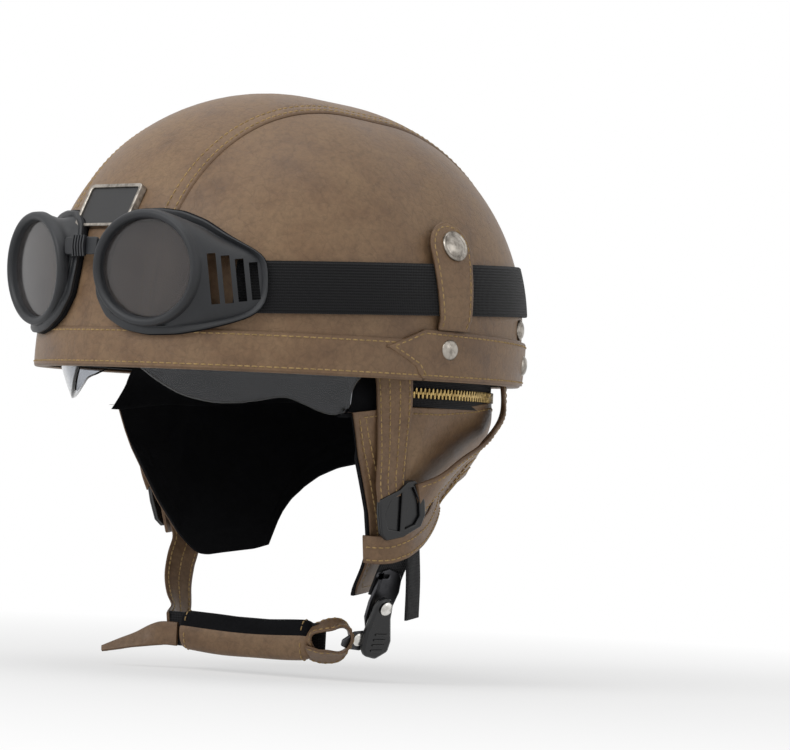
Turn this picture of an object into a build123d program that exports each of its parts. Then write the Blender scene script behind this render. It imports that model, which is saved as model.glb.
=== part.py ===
from build123d import *
import math
import os

os.makedirs("parts", exist_ok=True)

# Lengths are in millimetres, angles in degrees. The rim lies in the XY plane, the front
# of the helmet is -Y and the wearer's left is +X.

# Helmet form
crown_radius = 117.5      # outside of the leather side panels
straight_run = 25.0       # straight stretch between the front and rear rounds of the plan
wall_height = 29.0        # upright wall below the round of the crown
crown_lean = 4.3          # the crown leans back by this angle
skin = 1.6                # leather
panel_lap = 0.8           # the centre panel stands this proud of the side panels
shell_wall = 3.5
foam_wall = 27.0
liner_wall = 4.0
seam_front = 43.0         # half width of the centre panel at the front rim
seam_rear = 58.0          # and at the rear rim
gap = 0.3                 # running clearance
overrun = 5.0             # extra reach of every cutting tool
round_sides = 18          # facets round each end of the plan
crown_rings = 8           # and from the wall to the crown
inner_sides = 12          # the same inside the foam
inner_rings = 6
disc_sides = 8           # facets of rivets, snaps and pins

# Rim bands
band_height = 19.0
rear_band_height = 24.5
rear_band_end = 21.0      # height of the rear band at the middle of the back
arrow_tip = (-27.4, 14.8)
arrow_top_y = -3.8
arrow_foot_y = -8.0
hem = 1.6
rivet_head = 5.5
rivet_stand = 2.2
rivet_shank = 2.0
rivet_rows = ((0, 14.8), (37, 28.5), (41, 10.0))   # plan angle from the side, height
rear_rivet_height = 11.5

# Badge
badge_size = (43.0, 25.0)
badge_wall = 2.0
badge_rim = 2.0
badge_height = 81.5
badge_plate_wall = 3.2

# Snap tabs that hold the goggle strap
tab_width = 28.5
tab_root = 20.5
tab_foot = 25.5
tab_snap_height = 66.5
tab_shift = 3.5           # the side tabs sit this far behind the middle of the straight run
tab_skin = 2.0
tab_root_height = 4.0
snap_radius = 8.0
snap_stand = 2.8
stud_radius = 3.9
socket_wall = 0.7

# Sun visor
visor_gap = 1.4           # between the shell and the visor
visor_wall = 2.2
visor_travel = 27.0       # how far it swings down
visor_edge_shares = ((0, 0.58), (0.13, 0.61), (0.27, 0.69), (0.41, 0.73), (0.55, 0.71), (0.74, 0.60), (0.86, 0.46))
visor_side_shares = ((0, 0.11), (0.11, 0.09), (0.42, -0.17), (1.1, -0.17), (1.1, -0.8), (0.2, -0.8), (0.12, -0.5),
                     (0.1, -0.38), (-0.10, -0.04))
visor_strips = 16         # facets from pivot to pivot
visor_sides = 30          # and round the pivots
pivot_boss = 12.0
pivot_pin = 3.0
pivot_head = 5.5
pivot_head_wall = 2.0
head_play = 1.0
grip_shape = ((12, -41), (13, -50), (19, -55), (30, -55), (38, -50), (46, -41), (47, -31), (33, -31))
grip_hold = (44, -33)     # forward and up of the pivot, where the grip meets the visor
pocket_back_shares = ((-0.15, -0.5), (-0.15, 0.15), (0.12, 0.26), (1, 0.41), (1, -0.5))

# Goggles
strap_width = 26.6
strap_wall = 1.7
strap_middle = 45.0       # height of the middle of the elastic strap at y = 0
strap_slope = 2.4
strap_stand = 1.0
strap_reach = 33.0        # the strap ends this far behind the lenses, under the arm
lens_size = (29.0, 24.8)  # half width and half height of the opening
lens_wall = 2.2
lens_sides = 16
lens_place = (46.3, -128.8, 48.6)
lens_yaw = 12.7
lens_pitch = 3.3
cup_rim = 4.5
cup_depth = 38.0
cup_base = (41.0, 32.5)
cup_shift = 13.0
cup_wall = 3.4
cup_cut = 1.0
cushion = 3.6
arm_wall = 4.0
arm_outline = ((-116, 17), (-88, 27), (-88, 55.5), (-104, 66), (-116, 77))
vent_place = (92, -106, 43)
vent_along = (0.64, 0.77, 0)
vent_out = (0.77, -0.64, 0)
vent_lean = -8
vent_pitch = 7.4
vent_width = 4.6
vent_heights = (27.0, 25.0, 22.5, 20.0)
bridge_size = (30.0, 6.4, 11.4)
bridge_place = (0, -135.6, 59.8)
bridge_ribs = 5
rib_cut = 1.1

# Neck curtain
neck_tilt = 18.3
neck_centre = (0, 20.0, -17.0)
neck_radius = 99.3
neck_falls = (-36, -24, -10, 10, 32, 56, 84, 112)
neck_shares = (0.930, 0.971, 0.994, 1.0, 0.980, 0.931, 0.849, 0.745)
neck_sides = 14
leg_length = 62.0
fleece = 2.6
curtain_top = 0.3
zip_drop = 15.0           # height of the zip opening under the rim
curtain_corner = 1.0
curtain_front = ((-31, -19.5), (-24, -42), (-11, -71), (2, -99), (5, -109))
curtain_hem = ((9, -113), (15, -111), (44, -94), (60, -71), (76, -53), (92, -43), (125, -38))
lining_front = ((7, -34), (-15, -42), (-6, -71), (7, -99), (10, -109))
lining_corner = 7.0

# Zip
zip_tape = 0.8
tooth_pitch = 12.0
tooth_size = (1.3, 3.2)
chain_bead = 1.0
chain_gap = 2.4
zip_from = -8.0
zip_to = 188.0
zip_sides = 20
zip_park = 3.0            # the slider rests this angle short of the end
slider_size = (9.0, 1.8, 11.0)
pull_size = (7.0, 0.9, 16.0)

# Harness straps: centre points, each with the direction of the strap's width
strap_leather = 2.4
harness_width = 19.5
front_strap_line = (((105.6, -1.5, 2), (0, 1, 0)), ((105.0, -7.5, -12), (0, 0.99, 0.1)),
                    ((102.6, -7, -32), (0, 0.96, 0.25)), ((99.4, -3.5, -54), (0, 0.9, 0.43)),
                    ((97.4, 0, -70), (0, 0.89, 0.45)))
rear_strap_line = (((77.2, 90.7, 2), (-0.7, 0.7, 0)), ((81, 88, -15), (-0.68, 0.7, -0.1)),
                   ((89, 70.5, -30), (-0.5, 0.75, -0.4)), ((97.2, 42, -47), (-0.15, 0.6, -0.79)),
                   ((98.8, 20, -61), (0, 0.53, -0.85)), ((97.9, 8, -68), (0, 0.53, -0.85)))
divider_wall = 3.0
divider_place = (97.8, 6, -67)
divider_out = (0.991, 0, -0.132)
divider_shape = ((-15, 7), (-1, 14), (12, 12), (19, 4), (17, -7), (-9, -15), (-13, -11))
divider_slot = (1, -8)
slot_play = 2.0
keeper_wall = 1.6
keeper_width = 14.0
keeper_tilt = (0.24, -0.25, 0.94)
keeper_line = ((89.6, -7.5, -90), (93.0, 0.5, -88), (94.4, 23.5, -82), (89.2, 39, -78))
webbing = 1.6
webbing_width = 19.0
webbing_line = ((94.6, 7, -70), (90.3, 11.5, -87.5))
webbing_low = ((6.5, 15), (8, -5))       # its lower end, in the buckle's plane

# Buckle on the left webbing. In its plane x points back and y up.
buckle_place = (81, 9.2, -118.2)
buckle_lean = 21.0        # the plate leans in under the jaw by this angle
plate_wall = 1.6
lever_wall = 5.0
buckle_rivet = 2.3
rivet_cap_wall = 1.2
tongue_gap = 0.5
plate_shape = ((-6.5, 21.5), (-2.5, 22.5), (4.4, 17.5), (5.5, -1), (9.5, -19), (3, -27), (-3.5, -27), (-7, -14), (-11, 0))
plate_slot = (8.0, 2.4)
plate_slot_place = (-1, 15)
lever_shape = ((-5.5, 2), (0, 5.5), (5.5, 2), (5.2, -7), (10.5, -20), (3.4, -29), (-4, -29), (-6.5, -16), (-6, -6))
lever_ribs = ((2.5, -15), (2.5, -18), (2.5, -21), (2.5, -24))
lever_rib = (9.0, 1.2, 0.8)
tongue_shape = ((-13, -15.5), (-10, -14), (-3, -14), (0, -10), (3, -12), (3, -21), (0, -23), (-10, -23), (-13, -21.5))
tongue_rivet = (-9.8, -18.5)

# Chin strap and its pad
chin_width = 18.0
pad_height = 21.0
pad_depth = 10.4
pad_slide = 8.0
pad_sides = 16
pad_crown_shares = ((0, 0.86), (0.12, 1.0), (0.88, 1.0), (1, 0.86))
pad_top_share = 0.4
pad_from = (47, -8, -138)
pad_to = (-33, -30.2, -137)
hanger_line = (((-99.5, 7, -75), (0, 1, 0)), ((-98.4, 5, -88), (0.1, 0.98, -0.2)), ((-89, 1, -104), (0.25, 0.85, -0.45)),
               ((-70, -12, -121), (0.45, 0.45, -0.77)), ((-55, -24.5, -131.5), (0.3, 0.15, -0.94)))
upright_width = (0, 0, -1)
loop_run = 9.0
loop_width = (0.39, 0, -0.92)
loop_anchor = (-11, -18.5)
loop_end_step = (3, 3, 0)
loop_edge = -8.6
loop_reach = 60.0
tail_width = 12.6
tail_step = (-1.2, -2.6, -3)
tail_mid = (-12, -8, -5)
tail_end = (-28, -19, -12)

lean = math.radians(crown_lean)
shell_frame = Plane(origin=(0, 0, 0), x_dir=(1, 0, 0), z_dir=(0, math.sin(lean), math.cos(lean)))
shell_outer = crown_radius - skin
shell_inner = shell_outer - shell_wall
foam_inner = shell_inner - foam_wall
half_length = crown_radius + straight_run / 2


def polyhedron(rings, closed=True):
    # Flat facets between equal rings of points, with the first and last ring filled
    facets = [Face(Wire.make_polygon(ring)) for ring in (rings[0], rings[-1])]
    for low, high in zip(rings, rings[1:]):
        for i in range(0 if closed else 1, len(low)):
            corners = [low[i - 1], low[i], high[i], high[i - 1]]
            facets.append(Face(Wire.make_polygon(corners)))
    return Solid(Shell(facets))


def plan_ring(radius, height, sides):
    # The stadium plan as a polygon, at a height in the helmet's leaning frame
    ring = []
    for end, start in ((1, 0), (-1, 180)):
        for i in range(sides + 1):
            turn = math.radians(start + 180 * i / sides)
            ring.append(shell_frame.from_local_coords(
                (radius * math.cos(turn), end * straight_run / 2 + radius * math.sin(turn), height)))
    return ring


domes = {}


def dome(radius, rim=0.0):
    # Solid helmet form: a leaning wall, and rings of flat facets that close it over the crown
    if (radius, rim) in domes:
        return domes[radius, rim]
    sides, steps = (round_sides, crown_rings) if radius > foam_inner else (inner_sides, inner_rings)
    foot = -half_length * math.sin(lean) - 2 * overrun
    rises = [math.pi / 2 * i / (steps + 0.5) for i in range(steps + 1)]
    rings = [plan_ring(radius, foot, sides)]
    rings += [plan_ring(radius * math.cos(rise), wall_height + radius * math.sin(rise), sides) for rise in rises]
    with BuildPart() as body:
        add(polyhedron(rings))
        split(bisect_by=Plane.XY.offset(rim), keep=Keep.TOP)
    domes[radius, rim] = body.part
    return body.part


def layer(outer, inner, rim=0.0):
    big, small = dome(outer, rim), dome(inner, rim)
    with BuildPart() as shell:
        add(big)
        add(small, mode=Mode.SUBTRACT, clean=False)
    return shell.part


def prism(outline, plane, depth):
    with BuildPart() as block:
        with BuildSketch(plane):
            Polygon(*outline, align=None)
        extrude(amount=depth)
    return block.part


def sideways(outline, low=-2 * crown_radius, high=2 * crown_radius):
    # An outline drawn in Y and Z, run across the helmet from x = low to x = high
    return prism(outline, Plane.YZ.offset(low), high - low)


def common(first, second):
    with BuildPart() as both:
        add(first)
        add(second, mode=Mode.INTERSECT, clean=False)
    return both.part


def less(first, *others):
    with BuildPart() as rest:
        add(first)
        for other in others:
            add(other, mode=Mode.SUBTRACT, clean=False)
    return rest.part


def joined(*pieces):
    with BuildPart() as whole:
        for piece in pieces:
            add(piece, clean=False)
    return whole.part


def mirrored(part):
    with BuildPart() as other:
        add(part)
        mirror(about=Plane.YZ)
        split(bisect_by=Plane.YZ, keep=Keep.BOTTOM)
    return other.part


def spot_on(angle, height, stand=0.0, side=1):
    # A plane on the leather, facing out, at a plan angle from the side about the rear round
    out = math.radians(angle)
    y = straight_run / 2 + crown_radius * math.sin(out)
    up = (height + y * math.sin(lean)) / math.cos(lean)
    rise = math.asin(max(up - wall_height, 0) / crown_radius)
    level = shell_frame.x_dir * (side * math.cos(out)) + shell_frame.y_dir * math.sin(out)
    facing = level * math.cos(rise) + shell_frame.z_dir * math.sin(rise)
    centre = shell_frame.from_local_coords((0, straight_run / 2, min(up, wall_height)))
    across = shell_frame.z_dir.cross(facing)
    return Plane(centre + facing * (crown_radius + stand), x_dir=across, z_dir=facing)


def disc(plane, radius, low, high):
    with BuildPart() as cylinder:
        with BuildSketch(plane.offset(low)):
            RegularPolygon(radius, disc_sides)
        extrude(amount=high - low)
    return cylinder.part


def bearing(plane, radius, low, high):
    # A true round, for what turns in or on another part
    with BuildPart() as cylinder:
        with BuildSketch(plane.offset(low)):
            Circle(radius)
        extrude(amount=high - low)
    return cylinder.part


def ribbon(stations, width, wall):
    # A flat strap through a list of centre points, each with the direction of the strap's width
    points = [Vector(*place) for place, _ in stations]
    with BuildPart() as strap:
        for i, (_, across) in enumerate(stations):
            along = points[min(i + 1, len(points) - 1)] - points[max(i - 1, 0)]
            wide = Vector(*across)
            wide = wide - along * (wide.dot(along) / along.dot(along))
            with BuildSketch(Plane(points[i], x_dir=wide, z_dir=along)):
                Rectangle(width, wall)
        loft(ruled=True)
    return strap.part


def save(part, name):
    part.label = name
    export_step(part, f"parts/{name}.step")


# Rivets through the rim: two at each rear corner, one at each side and one at the back
rivet_spots = [(spot_on(angle, height, 0, side), height) for side in (-1, 1) for angle, height in rivet_rows]
rivet_spots.append((spot_on(90, rear_rivet_height), rear_rivet_height))
rivet_holes = [disc(spot, rivet_shank, -skin - shell_wall - overrun, 2 * skin) for spot, _ in rivet_spots]
rivets = []
for spot, height in rivet_spots:
    lift = skin if height < rear_band_height - overrun else 0.0
    seat = dome(crown_radius + max(lift, panel_lap), -hem)
    head = less(disc(spot, rivet_head, 0, lift + rivet_stand), seat)
    rivets.append(joined(head, disc(spot, rivet_shank, -skin - shell_wall, lift + rivet_stand / 2)))
save(joined(*rivets), "rim_rivets")

# Leather cover: a centre panel lapped over two side panels
lane_end = half_length + 2 * overrun
lane_outline = ((-seam_front, -lane_end), (seam_front, -lane_end), (seam_rear, lane_end), (-seam_rear, lane_end))
lane = prism(lane_outline, Plane.XY.offset(-overrun), 2 * crown_radius)
cover = layer(crown_radius, shell_outer)
side_panels = less(cover, lane, *rivet_holes)
panels = side_panels.solids().sort_by(Axis.X)
save(joined(panels[0]), "crown_panel_right")
save(joined(panels[-1]), "crown_panel_left")
centre_panel = common(layer(crown_radius + panel_lap, shell_outer), lane)
save(less(centre_panel, *rivet_holes), "crown_panel_centre")

# Rim bands, turned in under the edge of the shell
far_y = half_length + overrun
low_z = -2 * hem
rear_outline = (arrow_tip, (arrow_top_y, rear_band_height), (far_y, rear_band_end), (far_y, low_z),
                (arrow_foot_y + overrun, low_z), (arrow_foot_y, rear_band_height - band_height))
front_outline = ((-2 * crown_radius, low_z), (0, low_z), (0, band_height), (-2 * crown_radius, band_height))
band_ring = less(dome(crown_radius + skin, -hem), dome(crown_radius), dome(shell_inner, low_z))
band_ring = less(band_ring, layer(shell_outer, shell_inner))
rear_block = sideways(rear_outline)
save(less(common(band_ring, sideways(front_outline)), rear_block, centre_panel), "front_rim_band")
save(less(common(band_ring, rear_block), centre_panel, *rivet_holes), "rear_rim_band")

# Sun visor: a slice of a ball about its pivots, so that it slides up between shell and foam
pivot = shell_frame.from_local_coords((0, -straight_run / 2, wall_height))
across_pivots = Plane(pivot, x_dir=(0, 1, 0), z_dir=(1, 0, 0))
visor_outer = shell_inner - visor_gap
visor_inner = visor_outer - visor_wall
swing = math.radians(visor_travel)
visor_front = Plane(pivot, x_dir=(1, 0, 0), z_dir=(0, -math.cos(swing), math.sin(swing)))
visor_side = Plane(pivot, x_dir=visor_front.z_dir, z_dir=(-1, 0, 0)).offset(-crown_radius)


def pivot_ball(radius):
    # A ball about the pivots, as rings of flat facets round their axis
    rings = []
    for i in range(visor_strips):
        turn = math.pi * (i + 0.5) / visor_strips
        level = across_pivots.offset(-radius * math.cos(turn))
        wide = radius * math.sin(turn)
        spins = [2 * math.pi * k / visor_sides for k in range(visor_sides)]
        rings.append([level.from_local_coords((wide * math.cos(spin), wide * math.sin(spin), 0)) for spin in spins])
    return joined(polyhedron(rings))


visor_ball = less(pivot_ball(visor_outer), pivot_ball(visor_inner))
lobe = [(x * visor_outer, -z * visor_outer) for x, z in visor_edge_shares]
lobe += [(visor_outer, lobe[-1][1]), (visor_outer, crown_radius)]
lobe_outline = lobe + [(-x, z) for x, z in reversed(lobe[1:])]
side_shape = [(x * visor_outer, z * visor_outer) for x, z in visor_side_shares]
boss = disc(across_pivots, pivot_boss, -crown_radius, crown_radius)
visor_cut = common(joined(prism(side_shape, visor_side, 2 * crown_radius), boss),
                   prism(lobe_outline, visor_front.offset(-2 * pivot_boss), 2 * crown_radius))
grip_x = math.sqrt(visor_inner**2 - math.hypot(*grip_hold)**2) - visor_wall / 2
grip = prism(grip_shape, Plane(pivot + Vector(grip_x, 0, 0), x_dir=(0, -1, 0), z_dir=(-1, 0, 0)), -visor_wall)
pivot_hole = bearing(across_pivots, pivot_pin + gap, -crown_radius, crown_radius)
save(less(joined(common(visor_ball, visor_cut), grip), pivot_hole), "sun_visor")

pin_end = shell_inner + shell_wall / 2
head_end = visor_inner - 2 * gap - pivot_head_wall
pins = []
for side in (-1, 1):
    face = Plane(pivot, x_dir=(0, 1, 0), z_dir=(side, 0, 0))
    pins.append(bearing(face, pivot_pin, head_end, pin_end))
    pins.append(disc(face, pivot_head, head_end, head_end + pivot_head_wall))
save(joined(*pins), "visor_pivots")
pin_holes = bearing(across_pivots, pivot_pin, -pin_end, pin_end)
save(less(layer(shell_outer, shell_inner), pin_holes, *rivet_holes), "helmet_shell")

# Energy foam with the pocket that the visor slides into, and the fabric liner
pocket_wall = visor_inner - 4 * gap
pocket_side = Plane(pivot, x_dir=(0, -1, 0), z_dir=(1, 0, 0)).offset(-crown_radius)
pocket_shape = [(y * crown_radius, -z * crown_radius) for y, z in pocket_back_shares]
pocket = less(prism(pocket_shape, pocket_side, 2 * crown_radius), pivot_ball(pocket_wall))
head_relief = less(disc(across_pivots, pivot_head + head_play, -crown_radius, crown_radius),
                   disc(across_pivots, pivot_head + 2 * head_play, gap - head_end, head_end - gap))
save(less(layer(shell_inner, foam_inner), pocket, head_relief), "eps_liner")
save(layer(foam_inner, foam_inner - liner_wall), "comfort_liner")

# Bare badge on the forehead
badge_rise = math.asin((badge_height - wall_height - half_length * math.sin(lean)) / crown_radius)
badge_facing = shell_frame.y_dir * -math.cos(badge_rise) + shell_frame.z_dir * math.sin(badge_rise)
badge_plane = Plane(pivot + badge_facing * (crown_radius + panel_lap), x_dir=(1, 0, 0), z_dir=badge_facing)
badge_inside = (badge_size[0] - 2 * badge_rim, badge_size[1] - 2 * badge_rim)
with BuildPart() as badge_frame:
    with BuildSketch(badge_plane.offset(-badge_wall)):
        Rectangle(*badge_size)
        Rectangle(*badge_inside, mode=Mode.SUBTRACT)
    extrude(amount=2 * badge_wall)
with BuildPart() as badge_plate:
    with BuildSketch(badge_plane.offset(-badge_wall)):
        Rectangle(*badge_inside)
    extrude(amount=badge_plate_wall)
save(less(badge_frame.part, dome(crown_radius + panel_lap)), "badge_frame")
save(less(badge_plate.part, dome(crown_radius + panel_lap)), "badge_plate")

# Snap tabs: a root over the rim band, a tongue over the goggle strap, a cap and its stud
tab_inner = strap_stand + strap_wall + gap
side_face = Plane(origin=(0, straight_run / 2 + tab_shift, 0), x_dir=(0, 1, 0), z_dir=(1, 0, 0))
rear_face = Plane(origin=(0, 0, 0), x_dir=(-1, 0, 0), z_dir=(0, 1, 0))
tab_sheet = layer(crown_radius + tab_inner + tab_skin, crown_radius + tab_inner)
root_sheet = layer(crown_radius + tab_inner + tab_skin, crown_radius + panel_lap + gap)
stud_top = tab_inner + tab_skin - 3 * gap
socket = stud_radius + gap + socket_wall
stud_spots = [spot_on(0, tab_snap_height, 0, 1), spot_on(0, tab_snap_height, 0, -1), spot_on(90, tab_snap_height)]


def snap_tab(face, spot):
    with BuildPart() as tongue:
        with BuildSketch(face):
            with Locations((0, tab_snap_height)):
                RegularPolygon(tab_width / 2, disc_sides)
            with Locations((0, tab_foot + gap)):
                Rectangle(tab_root, 2 * gap)
            make_hull()
        extrude(amount=2 * crown_radius)
    with BuildPart() as root:
        with BuildSketch(face):
            with Locations((0, tab_foot + tab_root_height / 2)):
                Rectangle(tab_root, tab_root_height)
        extrude(amount=2 * crown_radius)
    hole = disc(spot, socket, 0, 4 * tab_inner)
    return less(joined(common(tab_sheet, tongue.part), common(root_sheet, root.part)), hole)


def snap_cap(spot):
    with BuildPart() as cap:
        with BuildSketch(spot.offset(tab_inner)):
            RegularPolygon(snap_radius, disc_sides)
        extrude(amount=tab_skin + snap_stand)
        chamfer(cap.faces().sort_by(Axis(spot.origin, spot.z_dir))[-1].edges(), snap_stand / 3)
        add(dome(crown_radius + tab_inner + tab_skin), mode=Mode.SUBTRACT)
        with BuildSketch(spot.offset(tab_inner)):
            RegularPolygon(socket, disc_sides)
            RegularPolygon(socket - socket_wall, disc_sides, mode=Mode.SUBTRACT)
        extrude(amount=tab_skin)
    return cap.part


for name, face, spot in (("left", side_face, stud_spots[0]), ("rear", rear_face, stud_spots[2])):
    save(snap_tab(face, spot), f"{name}_tab")
    save(snap_cap(spot), f"{name}_snap_cap")
save(mirrored(snap_tab(side_face, stud_spots[0])), "right_tab")
save(mirrored(snap_cap(stud_spots[0])), "right_snap_cap")
studs = [less(disc(spot, stud_radius, -skin, stud_top), dome(crown_radius + panel_lap * lap))
         for spot, lap in zip(stud_spots, (0, 0, 1))]
save(joined(*studs), "snap_studs")

# Elastic goggle strap: the rear run stays on the helmet, the two front runs go with the goggles
slope = math.tan(math.radians(strap_slope))


def strap_block(front, rear):
    low, high = strap_middle - strap_width / 2, strap_middle + strap_width / 2
    return sideways(((front, low + front * slope), (rear, low + rear * slope),
                     (rear, high + rear * slope), (front, high + front * slope)))


elastic = layer(crown_radius + strap_stand + strap_wall, crown_radius + strap_stand)
front_block = strap_block(lens_place[1] + strap_reach, straight_run / 2 - gap)
front_runs = common(elastic, front_block).solids().sort_by(Axis.X)
save(joined(front_runs[0]), "goggle_strap_right")
save(joined(front_runs[-1]), "goggle_strap_left")
save(common(elastic, strap_block(straight_run / 2 + gap, 2 * crown_radius)), "goggle_strap_rear")

# Goggles
yaw, pitch = math.radians(lens_yaw), math.radians(lens_pitch)
lens_plane = Plane(origin=lens_place, x_dir=(math.cos(yaw), math.sin(yaw), 0),
                   z_dir=(math.sin(yaw) * math.cos(pitch), -math.cos(yaw) * math.cos(pitch), -math.sin(pitch)))


def oval(width, height, sides, shift=0.0):
    turns = [math.radians((i + 0.5) * 360 / sides) for i in range(sides)]
    Polygon(*[(shift + width * math.cos(turn), height * math.sin(turn)) for turn in turns], align=None)


def cup(front, base, depth, ahead):
    with BuildPart() as shape:
        with BuildSketch(lens_plane.offset(ahead)):
            oval(*front, lens_sides)
        with BuildSketch(lens_plane.offset(-depth)):
            oval(*base, lens_sides, cup_shift)
        loft(ruled=True)
    return shape.part


rim_size = (lens_size[0] + cup_rim, lens_size[1] + cup_rim)
lens_seat = (lens_size[0] + cup_rim / 3, lens_size[1] + cup_rim / 3)
base_inner = (cup_base[0] - cup_wall, cup_base[1] - cup_wall)
cup_outside = cup(rim_size, cup_base, cup_depth, lens_wall)
cup_inside = cup(lens_size, base_inner, cup_depth + cup_cut, lens_wall + cup_cut)
with BuildPart() as lens:
    with BuildSketch(lens_plane.offset(-lens_wall)):
        oval(*lens_seat, lens_sides)
    extrude(amount=lens_wall)
save(lens.part, "goggle_lens_left")
save(mirrored(lens.part), "goggle_lens_right")
cushion_top = strap_stand + strap_wall + cushion
arm_low = strap_stand + strap_wall + gap
arm_sheet = layer(crown_radius + arm_low + arm_wall, crown_radius + arm_low)
arm_block = sideways(arm_outline, 0, 2 * crown_radius)
vent_plane = Plane(origin=vent_place, x_dir=vent_along, z_dir=vent_out)
with BuildPart() as vents:
    with BuildSketch(vent_plane.offset(-3 * arm_wall)):
        for i, tall in enumerate(vent_heights):
            with Locations(((i - 1.5) * vent_pitch, 0)):
                Rectangle(vent_width, tall, rotation=vent_lean)
    extrude(amount=8 * arm_wall)
left_cup = joined(less(cup_outside, dome(crown_radius + cushion_top)), common(arm_sheet, arm_block))
left_cup = less(left_cup, cup_inside, lens.part, vents.part)
with BuildPart() as bridge:
    with Locations(bridge_place):
        Box(*bridge_size)
        for i in range(bridge_ribs + 1):
            with Locations(((i - bridge_ribs / 2) * 2 * rib_cut, -bridge_size[1] / 2, 0)):
                Box(rib_cut, 2 * rib_cut, 2 * bridge_size[2], mode=Mode.SUBTRACT)
    add(dome(crown_radius + panel_lap + gap), mode=Mode.SUBTRACT)
bridge_body = less(bridge.part, cup_inside, mirrored(cup_inside), lens.part, mirrored(lens.part))
save(joined(left_cup, mirrored(left_cup), bridge_body), "goggle_frame")
pad_layer = layer(crown_radius + cushion_top, crown_radius + panel_lap + gap)
left_foam = less(common(less(cup_outside, cup_inside), pad_layer), arm_sheet, elastic)
foam_solid = joined(left_foam.solids().sort_by(SortBy.VOLUME)[-1])
save(joined(foam_solid, mirrored(foam_solid)), "goggle_cushions")

# Neck curtain and ear flaps: a barrel leaning forward, with straight legs beside the face
tilt = math.radians(neck_tilt)
neck_frame = Plane(origin=neck_centre, x_dir=(1, 0, 0), z_dir=(0, math.sin(tilt), math.cos(tilt)))


def neck_ring(radius, inset, fall):
    # A level U of the curtain: outside from leg to leg round the back, and back along the inside
    turns = [math.pi * i / neck_sides for i in range(neck_sides + 1)]
    out = [(radius, -leg_length)]
    out += [(radius * math.cos(turn), radius * math.sin(turn)) for turn in turns]
    out += [(-radius, -leg_length)]
    back = [(x * (radius - inset) / radius, y if y < 0 else y * (radius - inset) / radius) for x, y in reversed(out)]
    return [neck_frame.from_local_coords((x, y, -fall)) for x, y in out + back]


def neck_sheet(outer, inner):
    rings = [neck_ring(neck_radius * share - outer, inner - outer, fall) for fall, share in zip(neck_falls, neck_shares)]
    return joined(polyhedron(rings))


rear_end = curtain_hem[-1][0]
curtain_outline = (*curtain_front, *curtain_hem, (rear_end, -zip_drop), (curtain_corner, -zip_drop))
save(common(neck_sheet(0, skin), sideways(curtain_outline)), "neck_curtain")
lining_outline = (*lining_front, *curtain_hem, (rear_end, -zip_drop), (lining_corner, -zip_drop))
save(common(neck_sheet(skin, skin + fleece), sideways(lining_outline)), "curtain_lining")

# Zip round the back, between the rim and the curtain
zip_radius = neck_radius - skin
tape_height = (zip_drop - curtain_top - chain_gap) / 2
zip_plane = Plane(origin=(0, neck_centre[1], 0), x_dir=(1, 0, 0), z_dir=(0, 0, 1))


def round_flat(angle):
    turn = math.radians(angle)
    return Vector(math.cos(turn), math.sin(turn), 0)


def zip_arc(inner, wall, low, high):
    turns = [zip_from + (zip_to - zip_from) * i / zip_sides for i in range(zip_sides + 1)]
    rings = []
    for turn in turns:
        way = round_flat(turn)
        corners = ((inner, low), (inner + wall, low), (inner + wall, high), (inner, high))
        rings.append([zip_plane.origin + way * radius + Vector(0, 0, height) for radius, height in corners])
    return joined(polyhedron(rings))


upper_edge = -curtain_top - tape_height
lower_edge = -zip_drop + tape_height
save(zip_arc(zip_radius, zip_tape, upper_edge, -curtain_top), "zip_tape_upper")
save(zip_arc(zip_radius, zip_tape, -zip_drop, lower_edge), "zip_tape_lower")
teeth = int(math.radians(zip_to - zip_from) * zip_radius / tooth_pitch)
chain_middle = (upper_edge + lower_edge) / 2


def zip_teeth(edge, way, offset):
    step = (zip_to - zip_from) / teeth
    low, high = sorted((edge, edge - way * chain_bead))
    with BuildPart() as row:
        with BuildSketch(zip_plane.offset(edge)):
            with PolarLocations(zip_radius + zip_tape + tooth_size[0] / 2, teeth, zip_from + offset * step,
                                zip_to - zip_from - step):
                Rectangle(*tooth_size)
        extrude(amount=way * (chain_gap - gap))
        add(zip_arc(zip_radius + zip_tape, tooth_size[0], low, high))
    return row.part


save(zip_teeth(upper_edge, -1, 0.25), "zip_teeth_upper")
save(zip_teeth(lower_edge, 1, 0.75), "zip_teeth_lower")

# Zip slider, parked at the wearer's right end, and its pull
slider_way = round_flat(zip_to - zip_park)
slider_foot = Vector(0, neck_centre[1], chain_middle) + slider_way * (zip_radius + zip_tape + tooth_size[0] + gap)
slider_face = Plane(origin=slider_foot, x_dir=round_flat(zip_to - zip_park - 90), z_dir=slider_way)
with BuildPart() as slider:
    with BuildSketch(slider_face):
        Rectangle(slider_size[0], slider_size[2])
    extrude(amount=slider_size[1] / 2)
    with BuildSketch(slider_face.offset(slider_size[1] / 2)):
        Rectangle(slider_size[0] / 2, slider_size[2] / 5)
    extrude(amount=slider_size[1] / 2)
save(slider.part, "zip_slider")
with BuildPart() as pull:
    with BuildSketch(slider_face.offset(gap + slider_size[1])):
        with Locations(((pull_size[2] - pull_size[1]) / 2, 0)):
            RectangleRounded(pull_size[2], pull_size[0], pull_size[0] / 3)
            with Locations((pull_size[2] / 4, 0)):
                RegularPolygon(pull_size[0] / 5, disc_sides, mode=Mode.SUBTRACT)
    extrude(amount=pull_size[1])
save(pull.part, "zip_pull")

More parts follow.
